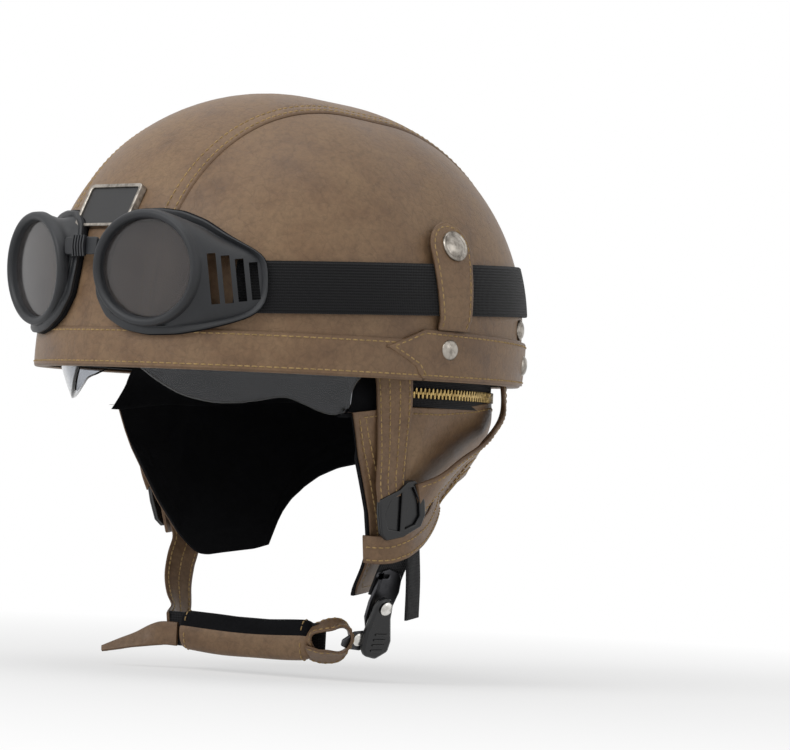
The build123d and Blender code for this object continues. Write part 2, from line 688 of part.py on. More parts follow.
# Harness of the left side, mirrored for the right: two straps that meet in a divider
divider_plane = Plane(origin=divider_place, x_dir=(0, 1, 0), z_dir=divider_out)
slot_size = (webbing_width + slot_play, 2 * webbing)
with BuildPart() as slot:
    with BuildSketch(divider_plane.offset(-divider_wall)):
        with Locations(divider_slot):
            Rectangle(*slot_size)
    extrude(amount=2 * divider_wall)
divider = less(prism(divider_shape, divider_plane.offset(-divider_wall / 2), divider_wall), slot.part)
divider_room = prism(divider_shape, divider_plane.offset(-2 * divider_wall), 4 * divider_wall)
wide_y = 2 * crown_radius
under_rim = sideways(((-wide_y, -curtain_top), (wide_y, -curtain_top), (wide_y, wall_height), (-wide_y, wall_height)))
front_strap = less(ribbon(front_strap_line, harness_width, strap_leather), divider_room, under_rim)
rear_strap = less(ribbon(rear_strap_line, harness_width, strap_leather), divider_room, front_strap, under_rim)
keeper = ribbon([(place, keeper_tilt) for place in keeper_line], keeper_width, keeper_wall)
harness = (("front_strap", front_strap), ("rear_strap", rear_strap), ("strap_divider", divider), ("strap_keeper", keeper))
for name, part in harness:
    save(part, f"left_{name}")
    save(mirrored(part), f"right_{name}")

# Buckle: a housing plate and a lever that turn on one rivet, with the chin strap's tongue between
buckle_turn = math.radians(buckle_lean)
buckle_plane = Plane(origin=buckle_place, x_dir=(0, 1, 0), z_dir=(math.cos(buckle_turn), 0, -math.sin(buckle_turn)))
tongue_low = plate_wall + tongue_gap
lever_low = tongue_low + plate_wall + tongue_gap
lever_top = lever_low + lever_wall
webbing_ends = [tuple(buckle_plane.from_local_coords((x, y, -gap - webbing / 2))) for x, y in webbing_low]
left_webbing = ribbon([(place, (0, 1, 0)) for place in (*webbing_line, *webbing_ends)], webbing_width, webbing)
save(left_webbing, "buckle_webbing")
with BuildPart() as plate_cut:
    with BuildSketch(buckle_plane):
        with Locations(plate_slot_place):
            Rectangle(*plate_slot)
    extrude(amount=plate_wall)
rivet_bore = bearing(buckle_plane, buckle_rivet, 0, plate_wall)
save(less(prism(plate_shape, buckle_plane, plate_wall), plate_cut.part, rivet_bore), "buckle_housing")
with BuildPart() as grip_ribs:
    with BuildSketch(buckle_plane.offset(lever_top)):
        with Locations(*lever_ribs):
            Rectangle(*lever_rib[:2])
    extrude(amount=lever_rib[2])
lever = joined(prism(lever_shape, buckle_plane.offset(lever_low), lever_wall), grip_ribs.part,
               disc(buckle_plane, 2 * buckle_rivet, plate_wall + gap, lever_low + gap))
save(less(lever, bearing(buckle_plane, buckle_rivet + gap, 0, 2 * lever_top)), "buckle_lever")
rivet_top = lever_top + gap
save(joined(bearing(buckle_plane, buckle_rivet, 0, rivet_top),
            disc(buckle_plane, 1.6 * buckle_rivet, rivet_top, rivet_top + rivet_cap_wall)), "buckle_rivet")

# Chin strap: hangs on the right divider, runs through the pad and ends in the buckle's tongue
tongue_spot = Plane(buckle_plane.from_local_coords((*tongue_rivet, 0)), x_dir=buckle_plane.x_dir, z_dir=buckle_plane.z_dir)
tongue = joined(prism(tongue_shape, buckle_plane.offset(tongue_low), plate_wall),
                disc(tongue_spot, buckle_rivet, tongue_low, tongue_low + 2 * plate_wall))
save(tongue, "buckle_tongue")
pad_start, pad_end = Vector(*pad_from), Vector(*pad_to)
pad_way = (pad_end - pad_start).normalized()
strap_start = pad_start - pad_way * pad_slide
strap_turn = pad_end + pad_way * (pad_slide + webbing)
hanger = ribbon((*hanger_line, (tuple(strap_turn), upright_width)), chin_width, webbing)
band = ribbon(((tuple(strap_turn), upright_width), (tuple(strap_start), upright_width)), chin_width, webbing)
save(less(hanger, band), "chin_strap_hanger")
save(band, "chin_strap_band")
loop_end = buckle_plane.from_local_coords((*loop_anchor, tongue_low - webbing))
loop_line = ((tuple(strap_start), upright_width), (tuple(strap_start - pad_way * loop_run), upright_width),
             (tuple(loop_end), loop_width), (tuple(loop_end + Vector(*loop_end_step)), loop_width))
reach = loop_reach
loop_room = joined(prism(((-reach, -reach), (reach, -reach), (reach, reach), (-reach, reach)),
                         buckle_plane.offset(tongue_low), reach),
                   prism(((loop_edge, -reach), (reach, -reach), (reach, reach), (loop_edge, reach)),
                         buckle_plane.offset(-reach), 2 * reach))
save(less(ribbon(loop_line, pad_height, 3 * webbing), loop_room), "chin_strap_loop")
tail_start = strap_turn + Vector(*tail_step)
tail_line = ((tuple(tail_start), upright_width), (tuple(tail_start + Vector(*tail_mid)), (0.2, 0, -1)),
             (tuple(tail_start + Vector(*tail_end)), (0.2, 0.1, -1)))
save(ribbon(tail_line, tail_width, webbing), "chin_strap_tail")
pad_plane = Plane(origin=pad_start, x_dir=Vector(0, 0, 1).cross(pad_way), z_dir=pad_way)
pad_length = (pad_end - pad_start).length


def pad_half(low, high):
    # The part of the crowned pad between two heights, with a tunnel for the strap
    with BuildPart() as half:
        for along, share in pad_crown_shares:
            with BuildSketch(pad_plane.offset(along * pad_length)):
                oval(share * pad_depth / 2, share * pad_height / 2, pad_sides)
        loft(ruled=True)
        with BuildSketch(pad_plane):
            with Locations((0, (low + high) / 2)):
                Rectangle(3 * pad_depth, high - low)
        extrude(amount=pad_length, mode=Mode.INTERSECT)
        with BuildSketch(pad_plane):
            Rectangle(webbing + 2 * gap, chin_width + 2 * gap)
        extrude(amount=pad_length, mode=Mode.SUBTRACT)
    return half.part


pad_split = pad_height * (0.5 - pad_top_share)
save(pad_half(-pad_height / 2, pad_split), "chin_pad_sleeve")
save(pad_half(pad_split, pad_height / 2), "chin_pad_fleece")
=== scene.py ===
import math
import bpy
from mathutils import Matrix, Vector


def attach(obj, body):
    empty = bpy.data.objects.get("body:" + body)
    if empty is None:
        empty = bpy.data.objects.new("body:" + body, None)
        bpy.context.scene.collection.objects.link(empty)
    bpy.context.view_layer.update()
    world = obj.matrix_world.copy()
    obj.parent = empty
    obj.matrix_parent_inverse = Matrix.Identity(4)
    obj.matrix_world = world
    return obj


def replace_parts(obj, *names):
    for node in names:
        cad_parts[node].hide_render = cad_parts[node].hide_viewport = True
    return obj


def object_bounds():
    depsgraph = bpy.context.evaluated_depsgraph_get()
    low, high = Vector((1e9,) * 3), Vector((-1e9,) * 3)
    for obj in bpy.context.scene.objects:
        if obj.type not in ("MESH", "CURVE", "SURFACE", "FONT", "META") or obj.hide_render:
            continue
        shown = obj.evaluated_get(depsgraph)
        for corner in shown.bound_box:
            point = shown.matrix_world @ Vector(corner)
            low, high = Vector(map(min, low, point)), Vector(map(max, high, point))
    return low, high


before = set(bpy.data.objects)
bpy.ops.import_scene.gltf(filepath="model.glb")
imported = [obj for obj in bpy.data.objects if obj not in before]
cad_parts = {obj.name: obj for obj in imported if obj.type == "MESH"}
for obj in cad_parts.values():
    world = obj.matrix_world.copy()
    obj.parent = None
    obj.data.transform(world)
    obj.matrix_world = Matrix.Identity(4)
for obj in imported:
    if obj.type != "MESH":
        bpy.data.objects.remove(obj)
from types import SimpleNamespace as Form
import bmesh
import bpy
import numpy as np
from mathutils import Matrix

cadBox = [list(corner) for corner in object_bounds()]
scene = bpy.context.scene
scene.view_settings.view_transform = "Standard"
mm = 0.001  # every shape below is worked out in millimetres

# Camera
cameraForm = Form(turn=50.18634, rise=-1.84083, roll=2.54212, distance=2324.589, focal=4378.35,
    middle=(282.936, 314.396), target=(0.0, 1.56, 32.0), frame=(790, 750), sensor=36.0, clip=20)


def standAt(obj, aside, upward, away, place):
    # Turns an object by its three axes, in metres, and puts it in the scene
    matrix = np.eye(4)
    matrix[:3, 0], matrix[:3, 1], matrix[:3, 2], matrix[:3, 3] = aside, upward, away, place
    obj.matrix_world = Matrix(matrix.tolist())
    scene.collection.objects.link(obj)


def placeCamera():
    form = cameraForm
    turn, rise, roll = (math.radians(angle) for angle in (form.turn, form.rise, form.roll))
    back = np.array([math.sin(turn) * math.cos(rise), -math.cos(turn) * math.cos(rise), math.sin(rise)])
    right = np.array([math.cos(turn), math.sin(turn), 0.0])
    up = np.cross(back, right)
    right, up = math.cos(roll) * right + math.sin(roll) * up, math.cos(roll) * up - math.sin(roll) * right
    wide, tall = form.frame
    data = bpy.data.cameras.new("camera")
    data.sensor_fit, data.sensor_width = "HORIZONTAL", form.sensor
    data.lens = form.focal * form.sensor / wide
    data.shift_x, data.shift_y = (wide / 2 - form.middle[0]) / wide, (form.middle[1] - tall / 2) / wide
    data.clip_end = form.clip
    scene.camera = bpy.data.objects.new("camera", data)
    standAt(scene.camera, right, up, back, (np.array(form.target) + form.distance * back) * mm)
    return back, right


back, right = placeCamera()


# Materials
def stepper(tree):
    # Gives a call that adds a node to the tree, feeds its sockets and sets its options
    def step(kind, feeds=None, **options):
        node = tree.nodes.new("ShaderNode" + kind)
        for key, value in options.items():
            setattr(node, key, value)
        for socket, value in (feeds or {}).items():
            if isinstance(value, bpy.types.NodeSocket):
                tree.links.new(value, node.inputs[socket])
            else:
                node.inputs[socket].default_value = value
        return node
    return step


class Finish:
    def __init__(self, name, **shader):
        self.material = bpy.data.materials.new(name)
        self.material.use_nodes = True
        self.tree = self.material.node_tree
        self.step = stepper(self.tree)
        self.shade = self.tree.nodes["Principled BSDF"]
        for socket, value in shader.items():
            self.shade.inputs[socket.replace("_", " ")].default_value = value

    def join(self, source, socket):
        self.tree.links.new(source, self.shade.inputs[socket])

    def noise(self, scale, detail, rough=0.5, distortion=0.0):
        place = self.step("TexCoord").outputs["Object"]
        return self.step("TexNoise", {"Vector": place, "Scale": scale, "Detail": detail, "Roughness": rough,
            "Distortion": distortion})

    def ramp(self, factor, stops):
        node = self.step("ValToRGB", {"Fac": factor})
        while len(node.color_ramp.elements) < len(stops):
            node.color_ramp.elements.new(1.0)
        for element, (at, colour) in zip(node.color_ramp.elements, stops):
            element.position = at
            element.color = (*colour, 1) if isinstance(colour, tuple) else (colour, colour, colour, 1)
        return node.outputs["Color"]

    def blend(self, share, first, second, kind="MIX"):
        node = self.step("MixRGB", {"Fac": share, "Color1": first, "Color2": second}, blend_type=kind)
        return node.outputs["Color"]

    def relief(self, height, strength, depth):
        bump = self.step("Bump", {"Strength": strength, "Distance": depth, "Height": height})
        self.join(bump.outputs["Normal"], "Normal")
        return self.material


def shades(tint, low, high):
    return tuple(low * part for part in tint), tuple(high * part for part in tint)


def leatherFinish(name, look):
    # Cloudy tan with dust, painted shade along the creases, and darker where the rim attribute is set: partly worn
    # edges, partly painted shade where the leather rolls over or tucks under the next part
    new = Finish(name, Specular_IOR_Level=0.4)
    place = new.step("TexCoord").outputs["Object"]
    warp = new.blend(0.012, place, new.noise(90.0, 3.0).outputs["Color"], "ADD")
    cloud = new.noise(look["cloud"], 7.0, 0.62, 0.4).outputs["Fac"]
    speck = new.noise(look["speck"], 5.0, 0.7).outputs["Fac"]
    cells = [new.step("TexVoronoi", {"Vector": warp, "Scale": look[key]}, feature="DISTANCE_TO_EDGE")
        for key in ("grain", "crease")]
    grain, crease = (node.outputs["Distance"] for node in cells)
    tone = new.ramp(cloud, [(0.28, look["dark"]), (0.47, look["middle"]), (0.66, look["light"])])
    dusty = new.blend(1.0, tone, new.ramp(speck, [(0.30, 0.80), (0.52, 1.0), (0.72, 1.13)]), "MULTIPLY")
    # Painted shade: the crease lines are darkened in the colour as well as sunk in the bump
    creaseShade = new.blend(0.7, dusty, new.ramp(crease, [(0.0, 0.82), (0.045, 1.0)]), "MULTIPLY")
    # The rim attribute darkens edges towards the edge colour: partly real wear, partly painted shade on rolled edges
    # and under neighbouring parts
    worn = new.step("Attribute", attribute_name="rim").outputs["Fac"]
    new.join(new.blend(worn, creaseShade, (*look["edge"], 1)), "Base Color")
    new.join(new.ramp(cloud, [(0.3, look["rough"] - 0.07), (0.7, look["rough"] + 0.08)]), "Roughness")
    pits, lines = new.ramp(grain, [(0.0, 0.0), (0.12, 1.0)]), new.ramp(crease, [(0.0, 0.0), (0.06, 1.0)])
    return new.relief(new.blend(0.35, new.blend(0.55, pits, lines), cloud), 0.45, look["depth"])


# The edge colour is what rims darken towards: partly worn leather, partly painted shade
leatherLook = {"cloud": 34.0, "speck": 330.0, "grain": 620.0, "crease": 105.0, "depth": 0.00035, "rough": 0.47,
    "dark": (0.142, 0.080, 0.042), "middle": (0.218, 0.131, 0.071), "light": (0.268, 0.170, 0.095),
    "edge": (0.120, 0.066, 0.034)}
leather = leatherFinish("tanLeather", leatherLook)
strapLeather = leatherFinish("strapLeather", dict(leatherLook, cloud=60.0, grain=800.0, crease=160.0,
    middle=(0.195, 0.116, 0.063), light=(0.245, 0.152, 0.084)))


def clothFinish(name, tint, scale, depth, rough=0.95, sheen=0.0):
    # Brushed cloth: one noise gives the pile's height and its colour, so the colour is painted shade in the pile's
    # hollows and painted light on its raised tips
    new = Finish(name, Roughness=rough, Sheen_Weight=sheen, Sheen_Roughness=0.5, Specular_IOR_Level=0.15)
    pile = new.noise(scale, 6.0, 0.75).outputs["Fac"]
    patch = new.noise(scale / 18, 3.0).outputs["Fac"]
    low, high = shades(tint, 0.6, 1.5)
    # Painted shade and light: the colour follows the pile's height
    base = new.ramp(pile, [(0.35, low), (0.65, high)])
    new.join(new.blend(1.0, base, new.ramp(patch, [(0.35, 0.8), (0.65, 1.15)]), "MULTIPLY"), "Base Color")
    return new.relief(pile, 0.7, depth)


def wovenFinish(name, tint, along, across, depth=0.00035):
    # Woven band: sine ribs along it and finer picks across it, read from its own map in millimetres. The colour
    # follows their height: painted shade in the grooves, painted light on the crests
    new = Finish(name, Roughness=0.82, Specular_IOR_Level=0.2, Sheen_Weight=0.15)
    place = new.step("SeparateXYZ", {"Vector": new.step("UVMap", uv_map="place").outputs["UV"]})
    waves = []
    for axis, pitch in (("X", across), ("Y", along)):
        turned = new.step("Math", {0: place.outputs[axis], 1: 2 * math.pi / pitch}, operation="MULTIPLY")
        wave = new.step("Math", {0: turned.outputs[0]}, operation="SINE")
        level = new.step("MapRange", {"Value": wave.outputs[0], "From Min": -1.0, "From Max": 1.0})
        waves.append(level.outputs["Result"])
    picks = new.step("Math", {0: waves[0], 1: 0.35}, operation="MULTIPLY")
    height = new.step("Math", {0: waves[1], 1: picks.outputs[0]}, operation="ADD").outputs[0]
    low, high = shades(tint, 0.45, 1.6)
    # Painted shade and light: darker in the grooves of the weave, lighter on the ribs
    new.join(new.ramp(height, [(0.1, low), (1.0, high)]), "Base Color")
    return new.relief(height, 0.8, depth)


def mouldedFinish(name, tint, rough, scale=900.0, depth=0.00012, level=0.5):
    # Moulded rubber or plastic: slight mottling and a fine texture from the mould
    new = Finish(name, Specular_IOR_Level=level)
    fine, broad = new.noise(scale, 4.0, 0.6).outputs["Fac"], new.noise(45.0, 4.0).outputs["Fac"]
    low, high = shades(tint, 0.8, 1.25)
    new.join(new.ramp(broad, [(0.35, low), (0.65, high)]), "Base Color")
    new.join(new.ramp(broad, [(0.3, rough - 0.06), (0.7, rough + 0.07)]), "Roughness")
    return new.relief(fine, 0.5, depth)


def metalFinish(name, dark, light, rough, scale=170.0):
    # Plated metal: blotches of tarnish over the bright plating
    new = Finish(name, Metallic=1.0)
    tarnish = new.noise(scale, 6.0, 0.65).outputs["Fac"]
    new.join(new.ramp(tarnish, [(0.34, dark), (0.58, light)]), "Base Color")
    new.join(new.ramp(tarnish, [(0.3, rough + 0.15), (0.7, rough)]), "Roughness")
    return new.relief(tarnish, 0.25, 0.0001)


def smokedFinish(name, clear, deep, rough, shine=0.5, through=0.85):
    # Smoked polycarbonate: the tint drifts a little, and the light goes through it
    new = Finish(name, Transmission_Weight=through, IOR=1.45, Roughness=rough, Specular_IOR_Level=shine)
    new.join(new.ramp(new.noise(30.0, 2.0).outputs["Fac"], [(0.35, deep), (0.65, clear)]), "Base Color")
    return new.material


thread = clothFinish("goldThread", (0.44, 0.30, 0.135), 2500.0, 0.0001, 0.7)
fleece = clothFinish("blackFleece", (0.0048, 0.0050, 0.0062), 1500.0, 0.0007, 0.97, 0.03)
linerCloth = clothFinish("linerCloth", (0.0050, 0.0050, 0.0058), 900.0, 0.0004, 0.9, 0.02)
foamFinish = clothFinish("closedFoam", (0.0055, 0.0055, 0.0062), 700.0, 0.0002, 0.9)
elastic = wovenFinish("blackElastic", (0.0062, 0.0062, 0.0070), 1.45, 1.1)
webbingWeave = wovenFinish("blackWebbing", (0.0085, 0.0085, 0.0095), 1.3, 1.6)
tapeWeave = wovenFinish("zipTape", (0.010, 0.010, 0.011), 0.9, 0.9, 0.0002)
rubber = mouldedFinish("goggleRubber", (0.0190, 0.0205, 0.0235), 0.50, 1200.0, 0.00015, 0.45)
blackPlastic = mouldedFinish("blackPlastic", (0.0065, 0.0067, 0.0078), 0.27)
satinPlastic = mouldedFinish("satinPlastic", (0.0120, 0.0120, 0.0130), 0.45)
nickel = metalFinish("agedNickel", (0.115, 0.100, 0.085), (0.42, 0.385, 0.34), 0.27)
brightNickel = metalFinish("brightRivet", (0.50, 0.48, 0.45), (0.86, 0.84, 0.80), 0.16)
darkSteel = metalFinish("darkSteel", (0.050, 0.050, 0.054), (0.105, 0.105, 0.112), 0.38, 60.0)
brass = metalFinish("agedBrass", (0.24, 0.155, 0.055), (0.58, 0.42, 0.17), 0.30, 400.0)
visorSmoke = smokedFinish("visorSmoke", (0.47, 0.49, 0.53), (0.40, 0.42, 0.46), 0.05, 0.2, 0.99)
lensSmoke = smokedFinish("lensSmoke", (0.30, 0.27, 0.26), (0.22, 0.20, 0.20), 0.12)
slotBook = {"leather_brown": (leather, strapLeather, thread), "fleece_black": (fleece,), "foam_black": (foamFinish,),
    "fabric_black": (linerCloth, elastic, webbingWeave, tapeWeave), "rubber_black": (rubber,),
    "plastic_black": (blackPlastic,), "nickel": (nickel, brightNickel, satinPlastic), "steel_dark": (darkSteel,),
    "brass": (brass,), "visor_smoke": (visorSmoke,), "lens_smoke": (lensSmoke,)}
slotOf = {finish.name: slot for slot, group in slotBook.items() for finish in group}
print("stage: materials")


# Mesh helpers
def gridFaces(rows, columns, wrapRows=False, wrapColumns=False):
    # Quads between neighbours of a grid, joined round where it wraps
    row = np.arange(rows if wrapRows else rows - 1)[:, None]
    column = np.arange(columns if wrapColumns else columns - 1)[None, :]
    nextRow, nextColumn = (row + 1) % rows, (column + 1) % columns
    corners = [(row, column), (row, nextColumn), (nextRow, nextColumn), (nextRow, column)]
    return pack(*(across * columns + along for across, along in corners)).reshape(-1, 4)


def tubeFaces(stages, around, count=1):
    # Quads round each of some tubes, and a face over both ends of each
    one = gridFaces(stages, around, wrapColumns=True)
    starts = np.arange(count) * stages * around
    faces = (one[None] + starts[:, None, None]).reshape(-1, 4).tolist()
    for first in (0, (stages - 1) * around):
        faces += [list(range(start + first, start + first + around)) for start in starts]
    return faces


def finishMesh(obj, wall=0.0, bevel=0.0):
    if wall:
        solid = obj.modifiers.new("wall", "SOLIDIFY")
        solid.thickness, solid.offset, solid.use_even_offset = wall * mm, -1, True
    if bevel:
        soften = obj.modifiers.new("soften", "BEVEL")
        soften.width, soften.segments, soften.limit_method = bevel * mm, 2, "ANGLE"
        soften.angle_limit = math.radians(40)


def readMesh(items, key, kind=float, width=3):
    values = np.zeros(len(items) * width, kind)
    items.foreach_get(key, values)
    return values.reshape(-1, width)


def makePiece(name, points, faces, body, finish, stands=(), uv=None, rim=None, away=None, closed=False, weld=0.01,
    sharp=50, **finishing):
    # A mesh from millimetre points, read as a plain grid if no faces are given
    # Its faces are turned to look away from the point called away
    mesh = bpy.data.meshes.new(name)
    faces = gridFaces(*np.shape(points)[:2]) if faces is None else faces
    flat = np.asarray(points, float).reshape(-1, 3) * mm
    mesh.from_pydata(flat.tolist(), [], [list(map(int, face)) for face in faces])
    if uv is not None:
        corner = readMesh(mesh.loops, "vertex_index", int, 1)[:, 0]
        mesh.uv_layers.new(name="place").data.foreach_set("uv", np.asarray(uv, float).reshape(-1, 2)[corner].ravel())
    # The rim attribute sets the leather's edge darkening: partly wear, partly painted shade
    if rim is not None:
        mesh.attributes.new("rim", "FLOAT", "POINT").data.foreach_set("value", np.asarray(rim, float).ravel())
    work = bmesh.new()
    work.from_mesh(mesh)
    bmesh.ops.remove_doubles(work, verts=work.verts, dist=weld * mm)
    bmesh.ops.dissolve_degenerate(work, edges=work.edges, dist=0.5 * weld * mm)
    if closed:
        bmesh.ops.recalc_face_normals(work, faces=work.faces)
    work.to_mesh(mesh)
    work.free()
    if away is not None:
        middles, normals = readMesh(mesh.polygons, "center"), readMesh(mesh.polygons, "normal")
        outward = ((middles - np.array(away) * mm) * normals).sum(1) * readMesh(mesh.polygons, "area", float, 1)[:, 0]
        if outward.sum() < 0:
            mesh.flip_normals()
    mesh.materials.append(finish)
    mesh.shade_smooth()
    mesh.set_sharp_from_angle(angle=math.radians(sharp))
    obj = bpy.data.objects.new(name, mesh)
    scene.collection.objects.link(obj)
    finishMesh(obj, **finishing)
    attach(obj, body)
    if stands:
        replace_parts(obj, *stands)
    return obj


def unit(vectors):
    return vectors / np.maximum(np.linalg.norm(vectors, axis=-1, keepdims=True), 1e-9)


def flow(stations, count):
    # Smooth run through the stations: each stretch is a cubic that keeps the slopes at its ends
    table = np.asarray(stations, float)
    reach = np.r_[0, np.cumsum(np.linalg.norm(np.diff(table[:, :3], axis=0), axis=1))]
    slopes = np.gradient(table, reach, axis=0)
    at = np.linspace(0, reach[-1], count)
    index = np.clip(np.searchsorted(reach, at, "right") - 1, 0, len(reach) - 2)
    span = (reach[index + 1] - reach[index])[:, None]
    u = (at - reach[index])[:, None] / span
    return ((2 * u**3 - 3 * u**2 + 1) * table[index] + (u**3 - 2 * u**2 + u) * span * slopes[index]
        + (3 * u**2 - 2 * u**3) * table[index + 1] + (u**3 - u**2) * span * slopes[index + 1])


def pack(*parts):
    return np.stack(np.broadcast_arrays(*parts), -1)


def smoothStep(value, low, high):
    share = np.clip((value - low) / (high - low), 0, 1)
    return share * share * (3 - 2 * share)


# Helmet form: everything at one stand from the crown is that far from a flat core inside it
helmetForm = Form(radius=117.5, run=25.0, wall=29.0, lean=math.radians(4.3), lap=0.8, seamMiddle=50.5,
    seamSpread=7.5, seamLength=140.0)
radius, run, wall = helmetForm.radius, helmetForm.run, helmetForm.wall
leanCos, leanSin = math.cos(helmetForm.lean), math.sin(helmetForm.lean)
quarter = math.pi / 2 * radius
halfRound = 2 * quarter + run
crownMiddle = (0, 5, 30)


def toCrown(points):
    x, y, z = np.moveaxis(np.asarray(points, float), -1, 0)
    return pack(x, y * leanCos - z * leanSin, y * leanSin + z * leanCos)


def fromCrown(x, y, z):
    return pack(x, y * leanCos + z * leanSin, z * leanCos - y * leanSin)


def crownNormals(points):
    x, y, z = np.moveaxis(toCrown(points), -1, 0)
    level = np.sign(y) * np.maximum(np.abs(y) - run / 2, 0)
    return unit(fromCrown(x, level, np.maximum(z - wall, 0)))


def sideSpot(y, height, out, side=1):
    # On the crown at a given y and height: x is what is left of the radius
    _, level, rise = np.moveaxis(toCrown(pack(0.0 * y * height, y, height)), -1, 0)
    rest = (radius + out)**2 - np.maximum(rise - wall, 0)**2 - np.maximum(np.abs(level) - run / 2, 0)**2
    return pack(side * np.sqrt(np.maximum(rest, 0)), y, height)


def ringSpot(walk, height, out):
    # On the crown after a walk round the plan from the middle of the front, at a given height
    walk, height, out = np.broadcast_arrays(walk, height, out)
    around = (walk + halfRound) % (2 * halfRound) - halfRound
    far, side = np.abs(around), np.where(around < 0, -1.0, 1.0)
    turn = np.where(far < quarter, far / radius - math.pi / 2, np.maximum(far - quarter - run, 0) / radius)
    middle = np.clip(far - quarter, 0, run) - run / 2
    reach = radius + out
    level = middle + reach * np.sin(turn)
    for _ in range(6):
        rise = (height + level * leanSin) / leanCos
        tip = np.arcsin(np.clip((rise - wall) / reach, 0, 0.999))
        level = middle + reach * np.cos(tip) * np.sin(turn)
    return fromCrown(side * reach * np.cos(tip) * np.cos(turn), level, rise)


def rearSpot(x, height, out, way=1):
    # On the back or front of the crown at a given x and height
    rise = np.broadcast_arrays(height, x)[0] * 1.0
    for _ in range(8):
        rest = (radius + out)**2 - x**2 - np.maximum(rise - wall, 0)**2
        level = way * (run / 2 + np.sqrt(np.maximum(rest, 0)))
        rise = (height + level * leanSin) / leanCos
    return fromCrown(x + 0 * level, level, rise)


def walkAt(y, height, out=0.0):
    # The walk that brings one to a given y on the left
    spot = toCrown(pack(0.0 * y, y, height))
    level, rise = spot[..., 1], spot[..., 2]
    ring = np.sqrt((radius + out)**2 - np.maximum(rise - wall, 0)**2)
    over = np.arcsin(np.clip((np.abs(level) - run / 2) / ring, 0, 1))
    return quarter + np.clip(level, -run / 2, run / 2) + run / 2 + np.sign(level) * radius * over


# Stitches: each is a small closed spindle whose ends dip into the leather
stitchForm = Form(pitch=3.7, long=3.0, thick=0.42, dip=0.30, sides=5, along=(-0.5, -0.40, 0.0, 0.40, 0.5),
    girth=(0.25, 0.85, 1.0, 0.85, 0.25))
stitchBook = {}


def sew(body, path, normals, lift=0.12, pitch=None):
    # Spindles at even steps of the path, along it and bent into the surface at both ends
    form = stitchForm
    pitch = pitch or form.pitch
    path, normals = np.asarray(path, float), np.asarray(normals, float)
    reach = np.r_[0, np.cumsum(np.linalg.norm(np.diff(path, axis=0), axis=1))]
    count = max(int(reach[-1] / pitch), 1)
    middles = (np.arange(count) + 0.5) * reach[-1] / count

    def read(values, at):
        return np.stack([np.interp(at, reach, values[:, i]) for i in range(3)], -1)

    along = np.array(form.along) * form.long * pitch / form.pitch
    spots = read(path, np.clip(middles[:, None] + along[None, :], 0, reach[-1]).ravel()).reshape(count, -1, 3)
    facing = unit(read(normals, middles))[:, None, :]
    tangents = unit(spots[:, -1] - spots[:, 0])[:, None, :]
    aside = np.cross(facing, tangents)
    sink = form.dip * (2 * np.abs(np.array(form.along)))**3
    spots = spots + facing * (lift - sink[None, :, None])
    spin = (2 * np.pi * np.arange(form.sides) / form.sides)[None, None, :, None]
    girth = (form.thick * np.array(form.girth))[None, :, None, None]
    rings = spots[:, :, None] + girth * (np.cos(spin) * aside[:, :, None] + np.sin(spin) * facing[:, :, None])
    stitchBook.setdefault(body, []).append(rings)


def makeStitches():
    for body, rows in stitchBook.items():
        rings = np.concatenate(rows)
        count, stages, sides = rings.shape[:3]
        makePiece(f"stitching_{body}", rings, tubeFaces(stages, sides, count), body, thread, closed=True, weld=0.0001,
            sharp=80)


# Leather cover
coverForm = Form(keep=14.0, centreFall=1.1, centreEdge=1.3, seamRows=(2.2, 7.2), pinch=0.28, pinchWide=0.9,
    skin=1.5, underlap=0.5, sideDip=0.9, dipWide=1.1, worn=0.55, wornWide=1.0, sideWorn=0.5, sideWornWide=1.5)


def seamHalf(y):
    return helmetForm.seamMiddle + helmetForm.seamSpread * y / helmetForm.seamLength


def centreSpot(fromEdge, way, part, out):
    # The centre panel: part runs 0-5 up the front wall, over the crown and down the rear wall, and
    # fromEdge is the distance in from the seam on that side
    y = np.zeros(np.broadcast(fromEdge, part).shape)
    keep, full = coverForm.keep, helmetForm.seamMiddle
    for _ in range(7):
        half = seamHalf(y)
        x = way * np.where(fromEdge < keep, half - fromEdge, (full - fromEdge) * (half - keep) / (full - keep))
        ring = np.sqrt((radius + out)**2 - x**2)
        arc = np.clip(part - 1, 0, 1) * math.pi / 2
        down = np.clip(part - 3, 0, 1) * math.pi / 2
        frontLevel = -(run / 2 + ring * np.cos(arc))
        rearLevel = run / 2 + ring * np.sin(down)
        level = np.where(part < 2, frontLevel, np.where(part > 3, rearLevel, (part - 2.5) * run))
        rise = wall + ring * np.where(part < 2, np.sin(arc), np.where(part > 3, np.cos(down), 1.0))
        foot = level * leanSin / leanCos
        share = np.where(part < 1, 1 - part, np.where(part > 4, part - 4, 0))
        rise = rise + (foot - wall) * share
        y = level * leanCos + rise * leanSin
    return fromCrown(x, level, rise)


